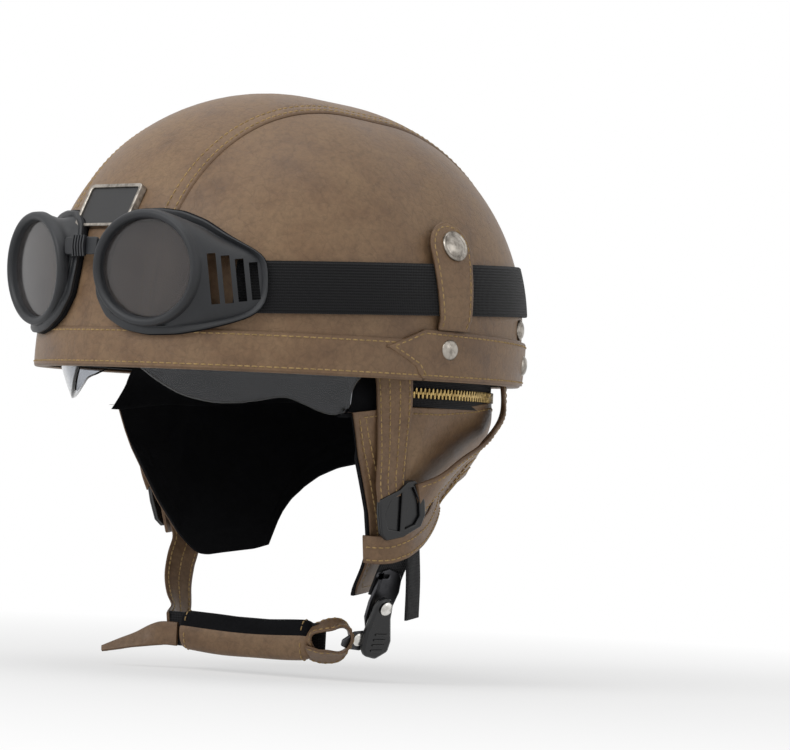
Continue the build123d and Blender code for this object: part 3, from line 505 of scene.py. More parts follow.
def makeCover():
    form = coverForm
    steps = np.r_[0, 0.25, 0.6, 1.0, 1.4, 1.8, 2.2, 2.6, 3.1, 4.2, 5.4, 6.4, 6.9, 7.2, 7.6, 8.2, 10, 14, 19, 25, 31,
        37, 43, 50.5]
    part = np.r_[np.linspace(0, 1, 8), np.linspace(1, 2, 44)[1:], np.linspace(2, 3, 12)[1:],
        np.linspace(3, 4, 44)[1:], np.linspace(4, 5, 8)[1:]]
    edge = np.r_[steps[:-1], steps[::-1]]
    way = np.r_[np.ones(len(steps) - 1), -np.ones(len(steps))]
    out = helmetForm.lap - form.centreFall * (1 - np.clip(edge / form.centreEdge, 0, 1))**2
    for row in form.seamRows:
        out = out - form.pinch * np.exp(-((edge - row) / form.pinchWide)**2)
    points = centreSpot(edge[None, :], way[None, :], part[:, None], out[None, :])
    # Centre panel's edge darkened: partly wear, partly painted shade where it rolls over the seam
    rim = np.broadcast_to(form.worn * np.exp(-edge / form.wornWide)[None, :], points.shape[:2])
    makePiece("cover_centre", points, None, "helmet", leather, ("crown_panel_centre",), rim=rim, away=crownMiddle,
        wall=form.skin)
    for side in (1, -1):
        for inset in form.seamRows:
            row = centreSpot(inset, side, np.linspace(0.52, 3.99, 500), helmetForm.lap - form.pinch)
            sew("helmet", row, crownNormals(row))
    # Side panels: each meridian climbs from the rim until it meets the seam
    front = radius * math.acos(seamHalf(-121.0) / radius)
    rear = radius * math.acos(seamHalf(121.0) / radius)
    share = 0.5 - 0.5 * np.cos(np.pi * np.linspace(0, 1, 110))
    walk = quarter - front + (front + run + rear) * share
    turn = np.where(walk < quarter, walk / radius - math.pi / 2, np.maximum(walk - quarter - run, 0) / radius)
    middle = np.clip(walk - quarter, 0, run) - run / 2
    top = np.zeros_like(walk)
    for _ in range(12):
        level = middle + radius * np.cos(top) * np.sin(turn)
        rise = wall + radius * np.sin(top)
        limit = seamHalf(level * leanCos + rise * leanSin) - form.underlap
        top = np.arccos(np.clip(limit / (radius * np.maximum(np.cos(turn), 0.01)), 0, 1))
    climb = np.r_[np.linspace(0, 0.96, 44), 0.975, 0.985, 0.993, 1.0]
    tip = climb[:, None] * top[None, :]
    fromSeam = (1 - climb[:, None]) * top[None, :] * radius
    reach = radius - form.sideDip * np.exp(-(fromSeam / form.dipWide)**2)
    level = middle + reach * np.cos(tip) * np.sin(turn)
    upper = fromCrown(reach * np.cos(tip) * np.cos(turn), level, wall + reach * np.sin(tip))
    foot = (middle + radius * np.sin(turn)) * leanSin / leanCos
    rows = np.linspace(0, 1, 7)[:-1, None]
    lower = fromCrown(reach[0] * np.cos(turn) + 0 * rows, level[0] + 0 * rows, foot + (wall - foot) * rows)
    points = np.concatenate([lower, upper])
    # Side panels darkened beside the seam: a painted shadow line under the centre panel's raised edge, partly wear
    rim = np.concatenate([np.zeros(lower.shape[:2]), form.sideWorn * np.exp(-fromSeam / form.sideWornWide)])
    for side, name in ((1, "left"), (-1, "right")):
        makePiece(f"cover_{name}", points * (side, 1, 1), None, "helmet", leather, (f"crown_panel_{name}",), rim=rim,
            away=crownMiddle, wall=form.skin)


makeCover()
print("stage: leather cover")

# Rim bands
bandForm = Form(front=19.0, stand=1.6, wall=0.9, row=2.8, rearStand=2.5, hem=-1.6, inset=1.9, tip=(-27.4, 14.8),
    top=(-3.8, 24.5), foot=(-8.0, 5.5), base=(-3.0, -1.6), rearTop=(130.0, 21.0), frontEnd=(-1.0, 8.0),
    rowEnds=(-21.5, -6.5), rowStart=(-3.0, 22.0), edge=(-0.5, 0.1), worn=0.45,
    outline=[(-1.6, 1.2), (-6.4, 7.0), (-23.2, 15.0)])


def bandPoints(walk, low, high, stand, turned):
    # Section of a band: turned in under the rim where turned is 1, up the face, and rolled over at the top
    hem = [(-4.6, 0.2), (-4.7, -0.9), (-4.0, -1.5), (-1.0, -1.6), (0.5, -1.6), (1.15, -1.25), (1.5, -0.5)]
    rows, outs = [], []
    for out, height in hem:
        drop = (height - bandForm.hem) * turned
        rows.append(low + drop)
        outs.append(out * turned + (1 - turned) * bandForm.edge[1])
    face = [(0.0, 0.55), (0.03, 0.15), (0.08, 0.0), (0.2, -0.12), (0.35, -0.2), (0.5, -0.22), (0.65, -0.2),
        (0.8, -0.12), (0.92, 0.0), (0.97, 0.12), (1.0, 0.5)]
    for share, dip in face:
        start = low + 1.2 * turned
        rows.append(start + (high - start) * share)
        outs.append(stand - dip * (1 - turned * (share < 0.05)) + 0 * walk)
    rows.append(high + 0 * walk)
    outs.append(bandForm.edge[0] + 0 * walk)
    return ringSpot(walk[None, :], rows, outs)


def rearHigh(y):
    return np.interp(y, *zip(bandForm.tip, bandForm.top, bandForm.rearTop))


def rearLow(y):
    return np.interp(y, *zip(bandForm.tip, bandForm.foot, bandForm.base))


def bandRim(points):
    # Darker where the band folds under and along its top: partly wear, partly painted shade on the rolls
    rim = np.zeros(points.shape[:2])
    rim[[5, 6, -2, -3]] = bandForm.worn
    return rim


def makeBands():
    form = bandForm
    end = walkAt(*form.frontEnd)
    walk = np.linspace(-end, end, 240)
    points = bandPoints(walk, form.hem + 0 * walk, form.front + 0 * walk, form.stand, np.ones_like(walk))
    makePiece("band_front", points, None, "helmet", leather, ("front_rim_band",), rim=bandRim(points),
        away=crownMiddle, wall=form.wall)
    tip = float(walkAt(*form.tip))
    walk = np.r_[tip, tip + np.linspace(0.4, 40, 60), np.linspace(tip + 41, 2 * halfRound - tip - 41, 150)]
    walk = np.r_[walk, 2 * halfRound - tip - np.linspace(40, 0.4, 60), 2 * halfRound - tip]
    y = ringSpot(walk, 12.0, 0.0)[:, 1]
    turned = smoothStep(y, form.foot[0] + 2.0, form.base[0])
    points = bandPoints(walk, rearLow(y), rearHigh(y), form.rearStand, turned)
    makePiece("band_rear", points, None, "helmet", leather, ("rear_rim_band",), rim=bandRim(points), away=crownMiddle,
        wall=form.wall)
    # Two rows on the front band, and one row that follows the outline of the rear band
    inset = form.inset
    for height, last in zip((form.front - inset, form.hem + form.row), form.rowEnds):
        reach = float(walkAt(last, height))
        row = ringSpot(np.linspace(-reach, reach, 700), height, form.stand)
        sew("helmet", row, crownNormals(row))
    outline = form.outline + [(-3.6, rearHigh(-3.8) - inset)]
    legs = [np.linspace(a, b, 30) for a, b in zip(outline, outline[1:])]
    for side in (1, -1):
        for leg in legs:
            row = ringSpot(side * walkAt(leg[:, 0], leg[:, 1]), leg[:, 1], form.rearStand)
            sew("helmet", row, crownNormals(row))
    start = float(walkAt(*form.rowStart))
    walk = np.linspace(start, 2 * halfRound - start, 900)
    y = ringSpot(walk, 20.0, 0.0)[:, 1]
    for height in (rearHigh(y) - inset, form.hem + form.row + 0 * y):
        row = ringSpot(walk, height, form.rearStand)
        sew("helmet", row, crownNormals(row))


makeBands()
print("stage: rim bands")


# Rivets and snaps
def turnedPoints(profile, middle, axis, sides):
    # A profile of (radius, height) turned about an axis
    axis = unit(np.asarray(axis, float))
    first = unit(np.cross(axis, (0.31, 0.52, 0.79)))
    second = np.cross(axis, first)
    profile = np.asarray(profile, float)
    spin = 2 * np.pi * np.arange(sides) / sides
    ring = np.cos(spin)[:, None] * first + np.sin(spin)[:, None] * second
    return np.asarray(middle) + profile[:, 0, None, None] * ring[None] + profile[:, 1, None, None] * axis


def turnedSet(name, profile, places, body, finish, stands=(), sides=28):
    points, faces = [], []
    for index, (middle, axis) in enumerate(places):
        grid = turnedPoints(profile, middle, axis, sides)
        points.append(grid.reshape(-1, 3))
        faces.append(gridFaces(*grid.shape[:2], wrapColumns=True) + index * grid.shape[0] * grid.shape[1])
    return makePiece(name, np.concatenate(points), np.concatenate(faces), body, finish, stands, closed=True, sharp=38)


rivetForm = Form(profile=[(0, 2.35), (1.2, 2.3), (2.6, 2.1), (3.9, 1.65), (4.8, 0.95), (5.35, 0.2), (5.5, -0.6),
        (5.3, -1.4), (0, -1.4)],
    spots=((0, 14.8, 2.5), (37, 28.5, 0.4), (41, 10.0, 2.5)),
    rearHeight=11.5, rearStand=2.5)
capForm = Form(profile=[(0, 7.75), (1.6, 7.7), (3.2, 7.45), (4.6, 7.0), (5.7, 6.45), (6.2, 6.15), (6.6, 6.1),
        (7.1, 6.35), (7.6, 6.4), (8.0, 6.05), (8.15, 5.4), (8.0, 4.7), (7.0, 4.3), (0, 4.3)],
    height=66.5, sideY=17.5)


def makeFixings():
    spots = [ringSpot(side * (quarter + run + radius * math.radians(angle)), height, stand) for side in (1, -1)
        for angle, height, stand in rivetForm.spots]
    spots.append(ringSpot(halfRound, rivetForm.rearHeight, rivetForm.rearStand))
    turnedSet("rivet_heads", rivetForm.profile, [(spot, crownNormals(spot)) for spot in spots], "helmet", nickel,
        ("rim_rivets",))
    caps = {"left": sideSpot(capForm.sideY, capForm.height, 0.0),
        "right": sideSpot(capForm.sideY, capForm.height, 0.0, -1), "rear": rearSpot(0.0, capForm.height, 0.0)}
    for name, spot in caps.items():
        turnedSet(f"snap_{name}", capForm.profile, [(spot, crownNormals(spot))], f"{name}_tab_body", nickel,
            (f"{name}_snap_cap",), 40)


makeFixings()

# Snap tabs
tabForm = Form(foot=24.6, root=10.4, half=14.2, middle=66.5, stand=5.0, footStand=3.0, swell=7, skin=1.9,
    sideY=15.9, inset=2.3, edge=0.5, groove=0.25, grooveWide=0.7)


def tabHalf(height):
    # Half width: straight sides that spread a little, then the round of the head
    form = tabForm
    rise = np.clip((height - form.middle) / form.half, 0, 1)
    sides = np.interp(height, (form.foot, form.middle), (form.root, form.half))
    return np.where(height > form.middle, form.half * np.sqrt(1 - rise**2), sides)


def tabStand(height):
    form = tabForm
    return form.footStand + (form.stand - form.footStand) * smoothStep(height, form.foot, form.foot + form.swell)


def tabSpot(across, height, out, where):
    if where == "rear":
        return rearSpot(-across, height, out)
    return sideSpot(tabForm.sideY + across, height, out, 1 if where == "left" else -1)


def makeTabs():
    form = tabForm
    arc = np.radians(np.r_[np.linspace(0, 80, 14)[1:], 84, 87, 89, 90])
    height = np.r_[np.linspace(form.foot, form.middle, 30), form.middle + form.half * np.sin(arc)]
    across = np.r_[-1, -0.985, -0.95, np.linspace(-0.88, 0.88, 15), 0.95, 0.985, 1]
    half = tabHalf(height)[:, None]
    fromSide = (1 - np.abs(across))[None, :] * half
    stand = tabStand(height)[:, None] - form.edge * np.exp(-(fromSide / form.edge)**2)
    stand = stand - form.groove * np.exp(-((fromSide - form.inset) / form.grooveWide)**2)
    grid = np.broadcast_arrays(across[None, :] * half, height[:, None], stand)
    # Tab edges darkened: partly wear, partly painted shade where the leather rolls over
    rim = 0.6 * np.exp(-fromSide / 0.8)
    turn = np.linspace(0, math.pi, 60)
    reach = form.half - form.inset
    low = np.linspace(form.foot + 1, form.middle, 60)
    ends = tabHalf(low) - form.inset
    row = np.concatenate([pack(-ends, low), pack(-reach * np.cos(turn), form.middle + reach * np.sin(turn)),
        pack(ends, low)[::-1]])
    for where in ("left", "right", "rear"):
        points = tabSpot(*grid, where)
        makePiece(f"tab_{where}", points, None, f"{where}_tab_body", leather, (f"{where}_tab",), rim=rim,
            away=crownMiddle, wall=form.skin, sharp=60)
        seam = tabSpot(row[:, 0], row[:, 1], tabStand(row[:, 1]) - 0.2, where)
        sew(f"{where}_tab_body", seam, crownNormals(seam))


makeTabs()

# Elastic strap
elasticForm = Form(middle=45.0, half=13.3, slope=math.tan(math.radians(2.4)), stand=2.7, wall=1.6)


def elasticPoints(walk):
    form = elasticForm
    across = np.r_[-1, -0.985, -0.95, np.linspace(-0.85, 0.85, 12), 0.95, 0.985, 1]
    height = form.middle + form.half * across[:, None] + 0 * walk[None, :]
    stand = form.stand - 0.5 * np.exp(-((1 - np.abs(across)) * form.half / 0.4)**2)[:, None]
    base = height
    for _ in range(3):
        points = ringSpot(walk[None, :], height, stand)
        height = base + points[..., 1] * form.slope
    uv = pack(walk[None, :], form.half * across[:, None])
    return points, uv


def makeElastic():
    form = elasticForm
    front, joint = (float(walkAt(y, form.middle)) for y in (-96.0, 12.3))
    for name, side in (("left", 1), ("right", -1)):
        points, uv = elasticPoints(side * np.linspace(front, joint, 60))
        makePiece(f"elastic_{name}", points, None, "goggles", elastic, (f"goggle_strap_{name}",), uv=uv,
            away=crownMiddle, wall=form.wall)
    points, uv = elasticPoints(np.linspace(joint + 0.4, 2 * halfRound - joint - 0.4, 150))
    makePiece("elastic_rear", points, None, "helmet", elastic, ("goggle_strap_rear",), uv=uv, away=crownMiddle,
        wall=form.wall)


makeElastic()
print("stage: tabs and elastic")

# Goggles: each cup runs from the oval round its lens back to a line on the helmet
goggleForm = Form(middle=(46.3, -128.8, 48.6), yaw=12.7, pitch=3.3, size=(29.0, 24.8), sides=120, wall=3.2,
    rim=[(4.9, -2.0), (4.75, 0.2), (4.2, 1.3), (3.2, 1.9), (2.0, 1.8), (0.9, 1.0), (0.35, -0.3), (0.2, -2.4),
        (-0.3, -3.2), (-0.3, -4.4), (1.2, -4.8)],
    base=[(7, 100.8, 56.9), (15, 91.3, 61.6), (27, 80.2, 66.9), (48, 68.0, 73.7), (72, 54.6, 78.1),
        (98, 40.8, 79.6), (122, 24.8, 79.0), (143, 14.0, 73.0), (161, 9.6, 63.5), (180, 8.6, 48.0),
        (201, 10.5, 35.0), (223, 18.9, 23.9), (246, 31.3, 17.6), (269, 44.6, 15.4), (295, 60.8, 16.2),
        (313, 73.9, 18.8), (326, 87.2, 22.6), (335, 99.0, 27.0), (343, 103.5, 34.0), (355, 103.0, 46.0)],
    flange=3.4, flangeLow=3.4, flangeTop=5.6, lensSpare=0.1, lensDome=1.7, lensFront=2.2, lensBack=4.0)
yaw, pitch = math.radians(goggleForm.yaw), math.radians(goggleForm.pitch)
lensMiddle = np.array(goggleForm.middle)
lensAside = np.array([math.cos(yaw), math.sin(yaw), 0.0])
lensOut = np.array([math.sin(yaw) * math.cos(pitch), -math.cos(yaw) * math.cos(pitch), -math.sin(pitch)])
lensUp = np.cross(lensOut, lensAside)
lensTurn = 2 * np.pi * np.arange(goggleForm.sides) / goggleForm.sides


def ovalRing(wide, tall, ahead):
    return (lensMiddle + (wide * np.cos(lensTurn))[:, None] * lensAside
        + (tall * np.sin(lensTurn))[:, None] * lensUp + ahead * lensOut)


def rimRing(grow, ahead):
    wide, tall = goggleForm.size
    return ovalRing(wide + grow, tall + grow, ahead)


def baseRing(out, inward=0.0):
    # The closed line of the cup's foot, read by its angle about the lens and smoothed
    table = np.array(goggleForm.base, float)
    angles = np.r_[table[:, 0] - 360, table[:, 0], table[:, 0] + 360]
    turn = np.degrees(lensTurn)
    walk = np.interp(turn, angles, np.tile(table[:, 1], 3))
    height = np.interp(turn, angles, np.tile(table[:, 2], 3))
    kernel = np.array([1, 2, 3, 2, 1]) / 9
    walk, height = (np.convolve(np.r_[v[-2:], v, v[:2]], kernel, "valid") for v in (walk, height))
    points = ringSpot(walk, height, out)
    return points + inward * inwardWay(points)


def inwardWay(points):
    # Towards the lens's own axis, square to it
    arm = points - lensMiddle
    return -unit(arm - (arm @ lensOut)[:, None] * lensOut)


boxCorners = np.array([(x, y, z) for x in (-1, 1) for y in (-1, 1) for z in (-1, 1)]) / 2
boxFaces = [(0, 1, 3, 2), (4, 6, 7, 5), (0, 4, 5, 1), (2, 3, 7, 6), (0, 2, 6, 4), (1, 5, 7, 3)]
ventForm = Form(middle=(88.5, -105.0, 44.0), along=(0.64, 0.77, 0.0), pitch=6.9, width=4.3,
    lean=math.radians(-8), heights=(25.5, 24.0, 21.5, 19.0), reach=26.0)


def makeCup():
    form = goggleForm
    rings = [baseRing(form.flangeLow), baseRing(form.flangeTop - 0.7, -0.2), baseRing(form.flangeTop, 0.6),
        baseRing(form.flangeTop + 0.2, form.flange - 0.6), baseRing(form.flangeTop + 0.1, form.flange)]
    start, end = baseRing(form.flangeTop + 0.6, form.flange + 0.5), rimRing(4.9, -3.2)
    side = np.cos(lensTurn)
    bulge = np.where(side > 0, 2.6 * side**2, -1.2)[:, None]
    wallRows = [start + (end - start) * share - inwardWay(start) * bulge * math.sin(math.pi * share)
        for share in np.linspace(0, 1, 14)]
    rings += wallRows + [rimRing(*place) for place in form.rim]
    inner = [row + inwardWay(row) * form.wall for row in wallRows[::-1][1:]]
    inner = [rimRing(1.9, -6.0)] + inner[1:] + [baseRing(form.flangeLow, form.flange + 2.5)]
    points = np.stack(rings + inner)
    left = makePiece("goggle_cup_left", points, gridFaces(*points.shape[:2], wrapRows=True, wrapColumns=True),
        "goggles", rubber, ("goggle_frame",), closed=True, sharp=42)
    # Air slots
    vent = ventForm
    along = np.array(vent.along)
    out = np.array([along[1], -along[0], 0.0])
    rise = np.array([0.0, 0.0, 1.0])
    tilted = math.cos(vent.lean) * rise + math.sin(vent.lean) * along
    level = math.cos(vent.lean) * along - math.sin(vent.lean) * rise
    boxes, faces = [], []
    for index, tall in enumerate(vent.heights):
        middle = np.array(vent.middle) + (index - 1.5) * vent.pitch * along
        boxes.append(middle + boxCorners * (vent.width, tall, vent.reach) @ np.array((level, tilted, out)))
        faces += [tuple(corner + 8 * index for corner in face) for face in boxFaces]
    cutter = bpy.data.meshes.new("slots")
    cutter.from_pydata((np.concatenate(boxes) * mm).tolist(), [], faces)
    work = bmesh.new()
    work.from_mesh(cutter)
    bmesh.ops.recalc_face_normals(work, faces=work.faces)
    work.to_mesh(cutter)
    work.free()
    tool = bpy.data.objects.new("slots", cutter)
    scene.collection.objects.link(tool)
    cut = left.modifiers.new("slots", "BOOLEAN")
    cut.object, cut.operation, cut.solver = tool, "DIFFERENCE", "EXACT"
    mesh = bpy.data.meshes.new_from_object(left.evaluated_get(bpy.context.evaluated_depsgraph_get()))
    left.modifiers.clear()
    left.data = mesh
    bpy.data.objects.remove(tool)
    left.data.set_sharp_from_angle(angle=math.radians(38))
    mirrorPiece(left, "goggle_cup_right")
    # Foam between the cup and the helmet
    section = [(-0.2, 0.95), (-0.7, 1.7), (-0.6, 2.7), (0.2, 3.5), (3.0, 3.6), (5.6, 3.5), (6.6, 2.6), (6.7, 1.7),
        (6.0, 0.95), (3.0, 0.85)]
    pad = np.stack([baseRing(out, inward) for inward, out in section])
    foam = makePiece("cushion_left", pad, gridFaces(*pad.shape[:2], wrapRows=True, wrapColumns=True), "goggles",
        foamFinish, ("goggle_cushions",), closed=True)
    mirrorPiece(foam, "cushion_right")
    # Lens: a shallow dome in the oval seat
    shares = [0.04, 0.25, 0.5, 0.72, 0.88, 1.0]
    wide, tall = (size + form.lensSpare for size in form.size)
    layers = ((form.lensFront, shares), (form.lensBack, shares[::-1]))
    lens = np.stack([ovalRing(share * wide, share * tall, form.lensDome * (1 - share * share) - sunk)
        for sunk, row in layers for share in row])
    glass = makePiece("lens_left", lens, tubeFaces(*lens.shape[:2]), "goggles", lensSmoke, ("goggle_lens_left",),
        closed=True)
    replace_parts(mirrorPiece(glass, "lens_right"), "goggle_lens_right")


def mirrorPiece(obj, name):
    mesh = obj.data.copy()
    places = readMesh(mesh.vertices, "co") * (-1, 1, 1)
    mesh.vertices.foreach_set("co", places.ravel())
    mesh.flip_normals()
    mesh.name = name
    other = bpy.data.objects.new(name, mesh)
    scene.collection.objects.link(other)
    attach(other, "goggles")
    return other


makeCup()


# Straps and plates
def strapPoints(path, wide, face, width, thick):
    # A flat section with softened edges, set square to its path
    half = [-0.5, -0.485, -0.44, -0.22, 0, 0.22, 0.44, 0.485]
    across = np.array(half + [-share for share in half])
    depth = np.array([0, 0.34, 0.5, 0.5, 0.5, 0.5, 0.5, 0.34])
    depth = np.r_[depth, -depth]
    width = np.broadcast_to(width, len(path))[:, None, None]
    points = (path[:, None] + across[None, :, None] * width * wide[:, None]
        + depth[None, :, None] * thick * face[:, None])
    reach = np.r_[0, np.cumsum(np.linalg.norm(np.diff(path, axis=0), axis=1))]
    uv = pack(reach[:, None], across[None, :] * width[..., 0])
    # Strap edges darkened: partly wear, partly painted shade on the rounded edges
    rim = np.broadcast_to(np.where(np.abs(across) > 0.46, 0.6, 0.0)[None, :], points.shape[:2])
    return points, uv, rim


farForm = Form(lean=[(40, 0), (60, 5), (80, 11), (100, 18), (112, 22)],
    keeperRise=9.0)


def leanIn(points):
    # The far side of the harness hangs further in than the near one
    points = np.array(points, float)
    points[..., 0] += np.interp(-points[..., 2], *zip(*farForm.lean))
    return points


def makeStrap(name, stations, width, thick, body, finish, stands=(), count=60, rows=(), face=1, side=1):
    # Stations give a point and the way of the strap's width; rows are stitch lines as shares of the width
    table = np.array([[*place, *wide] for place, wide in stations], float)
    smooth = flow(table, count)
    path, wide = smooth[:, :3] * (side, 1, 1), smooth[:, 3:] * (side, 1, 1)
    path = leanIn(path) if side < 0 else path
    if np.ndim(width):
        width = np.interp(np.linspace(0, 1, count), np.linspace(0, 1, len(width)), width)
    along = unit(np.gradient(path, axis=0))
    wide = unit(wide - (wide * along).sum(1)[:, None] * along)
    outward = np.cross(along, wide)
    points, uv, rim = strapPoints(path, wide, outward, width, thick)
    makePiece(name, points, tubeFaces(*points.shape[:2]), body, finish, stands, uv=uv, rim=rim, closed=True, sharp=55)
    outward = outward * face
    for share in rows:
        line = path + wide * (share * np.broadcast_to(width, count))[:, None] + outward * thick / 2
        sew(body, line[1:-1], outward[1:-1], 0.1, 3.3)


def makePlate(name, outline, origin, xWay, yWay, low, high, body, finish, stands=(), holes=(), bevel=0.5, side=1):
    # A flat outline with holes, raised from low to high square to its own plane
    origin, xWay, yWay = (np.asarray(v, float) for v in (origin, xWay, yWay))
    face = np.cross(xWay, yWay)
    work = bmesh.new()
    edges = []
    for loop in (outline, *holes):
        corners = [work.verts.new(((origin + x * xWay + y * yWay + low * face) * mm).tolist()) for x, y in loop]
        edges += [work.edges.new((corners[i - 1], corners[i])) for i in range(len(corners))]
    bmesh.ops.triangle_fill(work, use_beauty=True, use_dissolve=True, edges=edges)
    lifted = bmesh.ops.extrude_face_region(work, geom=work.faces[:])
    verts = [item for item in lifted["geom"] if isinstance(item, bmesh.types.BMVert)]
    bmesh.ops.translate(work, verts=verts, vec=(face * (high - low) * mm).tolist())
    bmesh.ops.recalc_face_normals(work, faces=work.faces)
    work.verts.index_update()
    points = np.array([vert.co[:] for vert in work.verts]) / mm * (side, 1, 1)
    faces = [[vert.index for vert in item.verts] for item in work.faces]
    work.free()
    return makePiece(name, points, faces, body, finish, stands, closed=True, sharp=35, bevel=bevel)


def roundBox(wide, tall, corner, steps=5):
    spin = np.radians(np.concatenate([np.linspace(a, a + 90, steps) for a in (0, 90, 180, 270)]))
    push = np.repeat([(1, 1), (-1, 1), (-1, -1), (1, -1)], steps, axis=0) * (wide / 2 - corner, tall / 2 - corner)
    return (push + corner * np.stack([np.cos(spin), np.sin(spin)], -1)).tolist()


bridgeForm = Form(middle=(0.0, -134.6, 59.8), plate=(27.0, 9.0), ribs=5, pitch=2.2, tall=10.6, rib=1.25,
    corner=2.0, span=(-1.6, 0.6), stand=1.2, bow=1.9)


def makeBridge():
    form = bridgeForm
    middle = np.array(form.middle)
    outline = roundBox(*form.plate, form.corner)
    makePlate("bridge_plate", outline, middle, (1, 0, 0), (0, 0, 1), *form.span, "goggles", rubber)
    for index in range(form.ribs):
        x = (index - (form.ribs - 1) / 2) * form.pitch
        ends = [(x, middle[1] - form.stand, middle[2] + way * form.tall / 2) for way in (-1, 1)]
        bowed = [ends[0], (x, middle[1] - form.bow, middle[2]), ends[1]]
        makeStrap(f"bridge_rib_{index}", [(spot, (1, 0, 0)) for spot in bowed], form.rib, form.rib * 1.3, "goggles",
            rubber, count=12)


makeBridge()
print("stage: goggles")

# Badge left bare
badgeForm = Form(size=(43.0, 25.0), rim=2.0, height=81.5, corner=2.6, frameSpan=(-2.0, 2.0),
    plateSpan=(-2.0, 1.0))


def makeBadge():
    form = badgeForm
    halfLength = radius + run / 2
    rise = math.asin((form.height - wall - halfLength * leanSin) / radius)
    facing = fromCrown(0.0, -math.cos(rise), math.sin(rise))
    middle = fromCrown(0.0, -run / 2, wall) + facing * (radius + helmetForm.lap)
    across = np.array([1.0, 0.0, 0.0])
    upward = np.cross(facing, across)
    wide, tall = form.size
    inner = roundBox(wide - 2 * form.rim, tall - 2 * form.rim, form.corner - 1)
    makePlate("badge_surround", roundBox(wide, tall, form.corner), middle, across, upward, *form.frameSpan, "helmet",
        nickel, ("badge_frame",), [inner], 0.45)
    makePlate("badge_bare", inner, middle, across, upward, *form.plateSpan, "helmet", satinPlastic, ("badge_plate",),
        bevel=0.2)


makeBadge()

# Sun visor: part of a ball about its pivots, between an upper and a lower edge
visorForm = Form(outer=111.0, wall=2.1, tilt=math.radians(27.0), ends=(6.0, 174.0),
    low=[(0, 35.4), (0.13, 38.0), (0.27, 45.6), (0.41, 53.0), (0.55, 58.0), (0.74, 63.0), (0.86, 65.5),
        (0.92, 73.5), (0.978, 90.0), (0.994, 150.0)],
    high=[(0, 9.8), (0.53, 11.5), (0.71, 14.0), (0.85, 18.0), (0.891, 22.0), (0.94, 13.0), (0.963, 6.0),
        (0.98, -6.0), (0.99, -39.0)],
    grip=(0.866, 0.055, 25.0))


def makeVisor():
    form = visorForm
    beta = np.linspace(*np.radians(form.ends), 150)
    along, out = np.cos(beta), np.sin(beta)
    low = np.interp(np.abs(along), *np.array(form.low).T)
    high = np.interp(np.abs(along), *np.array(form.high).T)
    kernel = np.ones(5) / 5
    low, high = (np.convolve(np.r_[v[:2], v, v[-2:]], kernel, "valid") for v in (low, high))
    where, spread, deep = form.grip
    low = low + deep * np.exp(-((along - where) / spread)**2) * (along > 0)
    share = np.linspace(0, 1, 40)[:, None]
    angle = np.radians(high + (low - high) * share) - form.tilt
    pivot = fromCrown(0.0, -run / 2, wall)
    ring = form.outer * out[None, :]
    points = pivot + pack(form.outer * along[None, :], -ring * np.cos(angle), -ring * np.sin(angle))
    makePiece("visor_shade", points, None, "visor", visorSmoke, ("sun_visor",), away=tuple(pivot), wall=form.wall)


makeVisor()

# Comfort liner: quilted cloth inside the foam
linerForm = Form(radius=81.6, wall=3.4, quilt=1.1, panels=10)


def makeLiner():
    form = linerForm
    spin = np.linspace(0, 2 * np.pi, 145)[:-1]
    level = np.where(np.sin(spin) > 0, run / 2, -run / 2)
    side = np.r_[np.linspace(0, 1, 9)[:-1], 1 + np.linspace(0, 1, 26)]
    tip = np.clip(side - 1, 0, 1)[:, None] * math.radians(89.5)
    puff = form.quilt * (np.abs(np.sin(form.panels / 2 * spin))[None, :]**0.5 * np.cos(tip)**0.5 - 1)
    reach = form.radius - form.quilt - puff
    y = level + reach * np.cos(tip) * np.sin(spin)
    foot = y * leanSin / leanCos + 0.6
    rise = np.where(side[:, None] < 1, foot + (wall - foot) * side[:, None], wall + reach * np.sin(tip))
    points = fromCrown(reach * np.cos(tip) * np.cos(spin), y, rise)
    obj = makePiece("liner_quilted", points, gridFaces(*points.shape[:2], wrapColumns=True), "helmet", linerCloth,
        ("comfort_liner",), away=crownMiddle, weld=0.05)
    obj.data.flip_normals()
    finishMesh(obj, wall=form.wall)


makeLiner()
print("stage: badge, visor and liner")

# Neck curtain
neckForm = Form(middle=(20.0, -17.0), tilt=math.radians(18.3), radius=99.3, leg=53.6,
    falls=(-36, -24, -10, 10, 32, 56, 84, 112),
    shares=(0.930, 0.971, 0.994, 1.0, 0.980, 0.931, 0.849, 0.745),
    low=[(-31, -19.5), (-24, -42), (-11, -71), (2, -99), (5, -109), (9, -113.5), (28, -112), (36, -106),
        (46, -93), (58, -76), (68, -62), (78, -53), (92, -49), (104, -50), (114, -54), (125, -54)],
    farLow=[(-31, -19.5), (-24, -42), (-11, -71), (-1, -90.5), (2, -95.5), (4, -97), (8, -97.5), (34, -93.5),
        (42, -91), (47, -84.5), (54, -75), (62, -66.5), (71, -59), (80, -53), (90, -48), (98, -45.5),
        (106, -47), (114, -54), (125, -54)],
    high=[(-31, -19.5), (1, -15.2), (30, -15), (60, -12.5), (85, -9.5), (100, -11), (115, -15.5)],
    squeeze=[(-20, 0), (-10, 0.05), (0, 0.17), (27, 0.38), (60, 0.50), (112, 0.6)],
    farLean=[(0, 0), (30, 2), (60, 7), (90, 16), (112, 22)],
    nearLean=[(0, 0), (60, 0), (80, 4), (95, 7), (112, 9)],
    skin=1.5, ripple=0.55, rippleLong=17.0, groove=0.35, grooveWide=1.2, hemRow=4.5, hemPair=10.0, topRow=3.4,
    gap=1.55, thin=0.5, pile=1.9, visorY=(2, 9), visorDrop=(36, 43), quilting=((13, 0.7, 1.4), (6, 0.5, 1.2)),
    pileEdge=0.8, hemRoll=4, skirtRing=94.6, skirtBend=7.4, skirtLeg=49, skirtRise=(-12, 14), skirtWall=1.4)
neckTurn = math.pi * neckForm.radius


def neckPlan(walk):
    # How far round the back the walk is, and how far forward along a leg
    leg = np.where(walk < 0, walk, np.where(walk > neckTurn, neckTurn - walk, 0))
    return np.clip(walk, 0, neckTurn) / neckForm.radius, leg


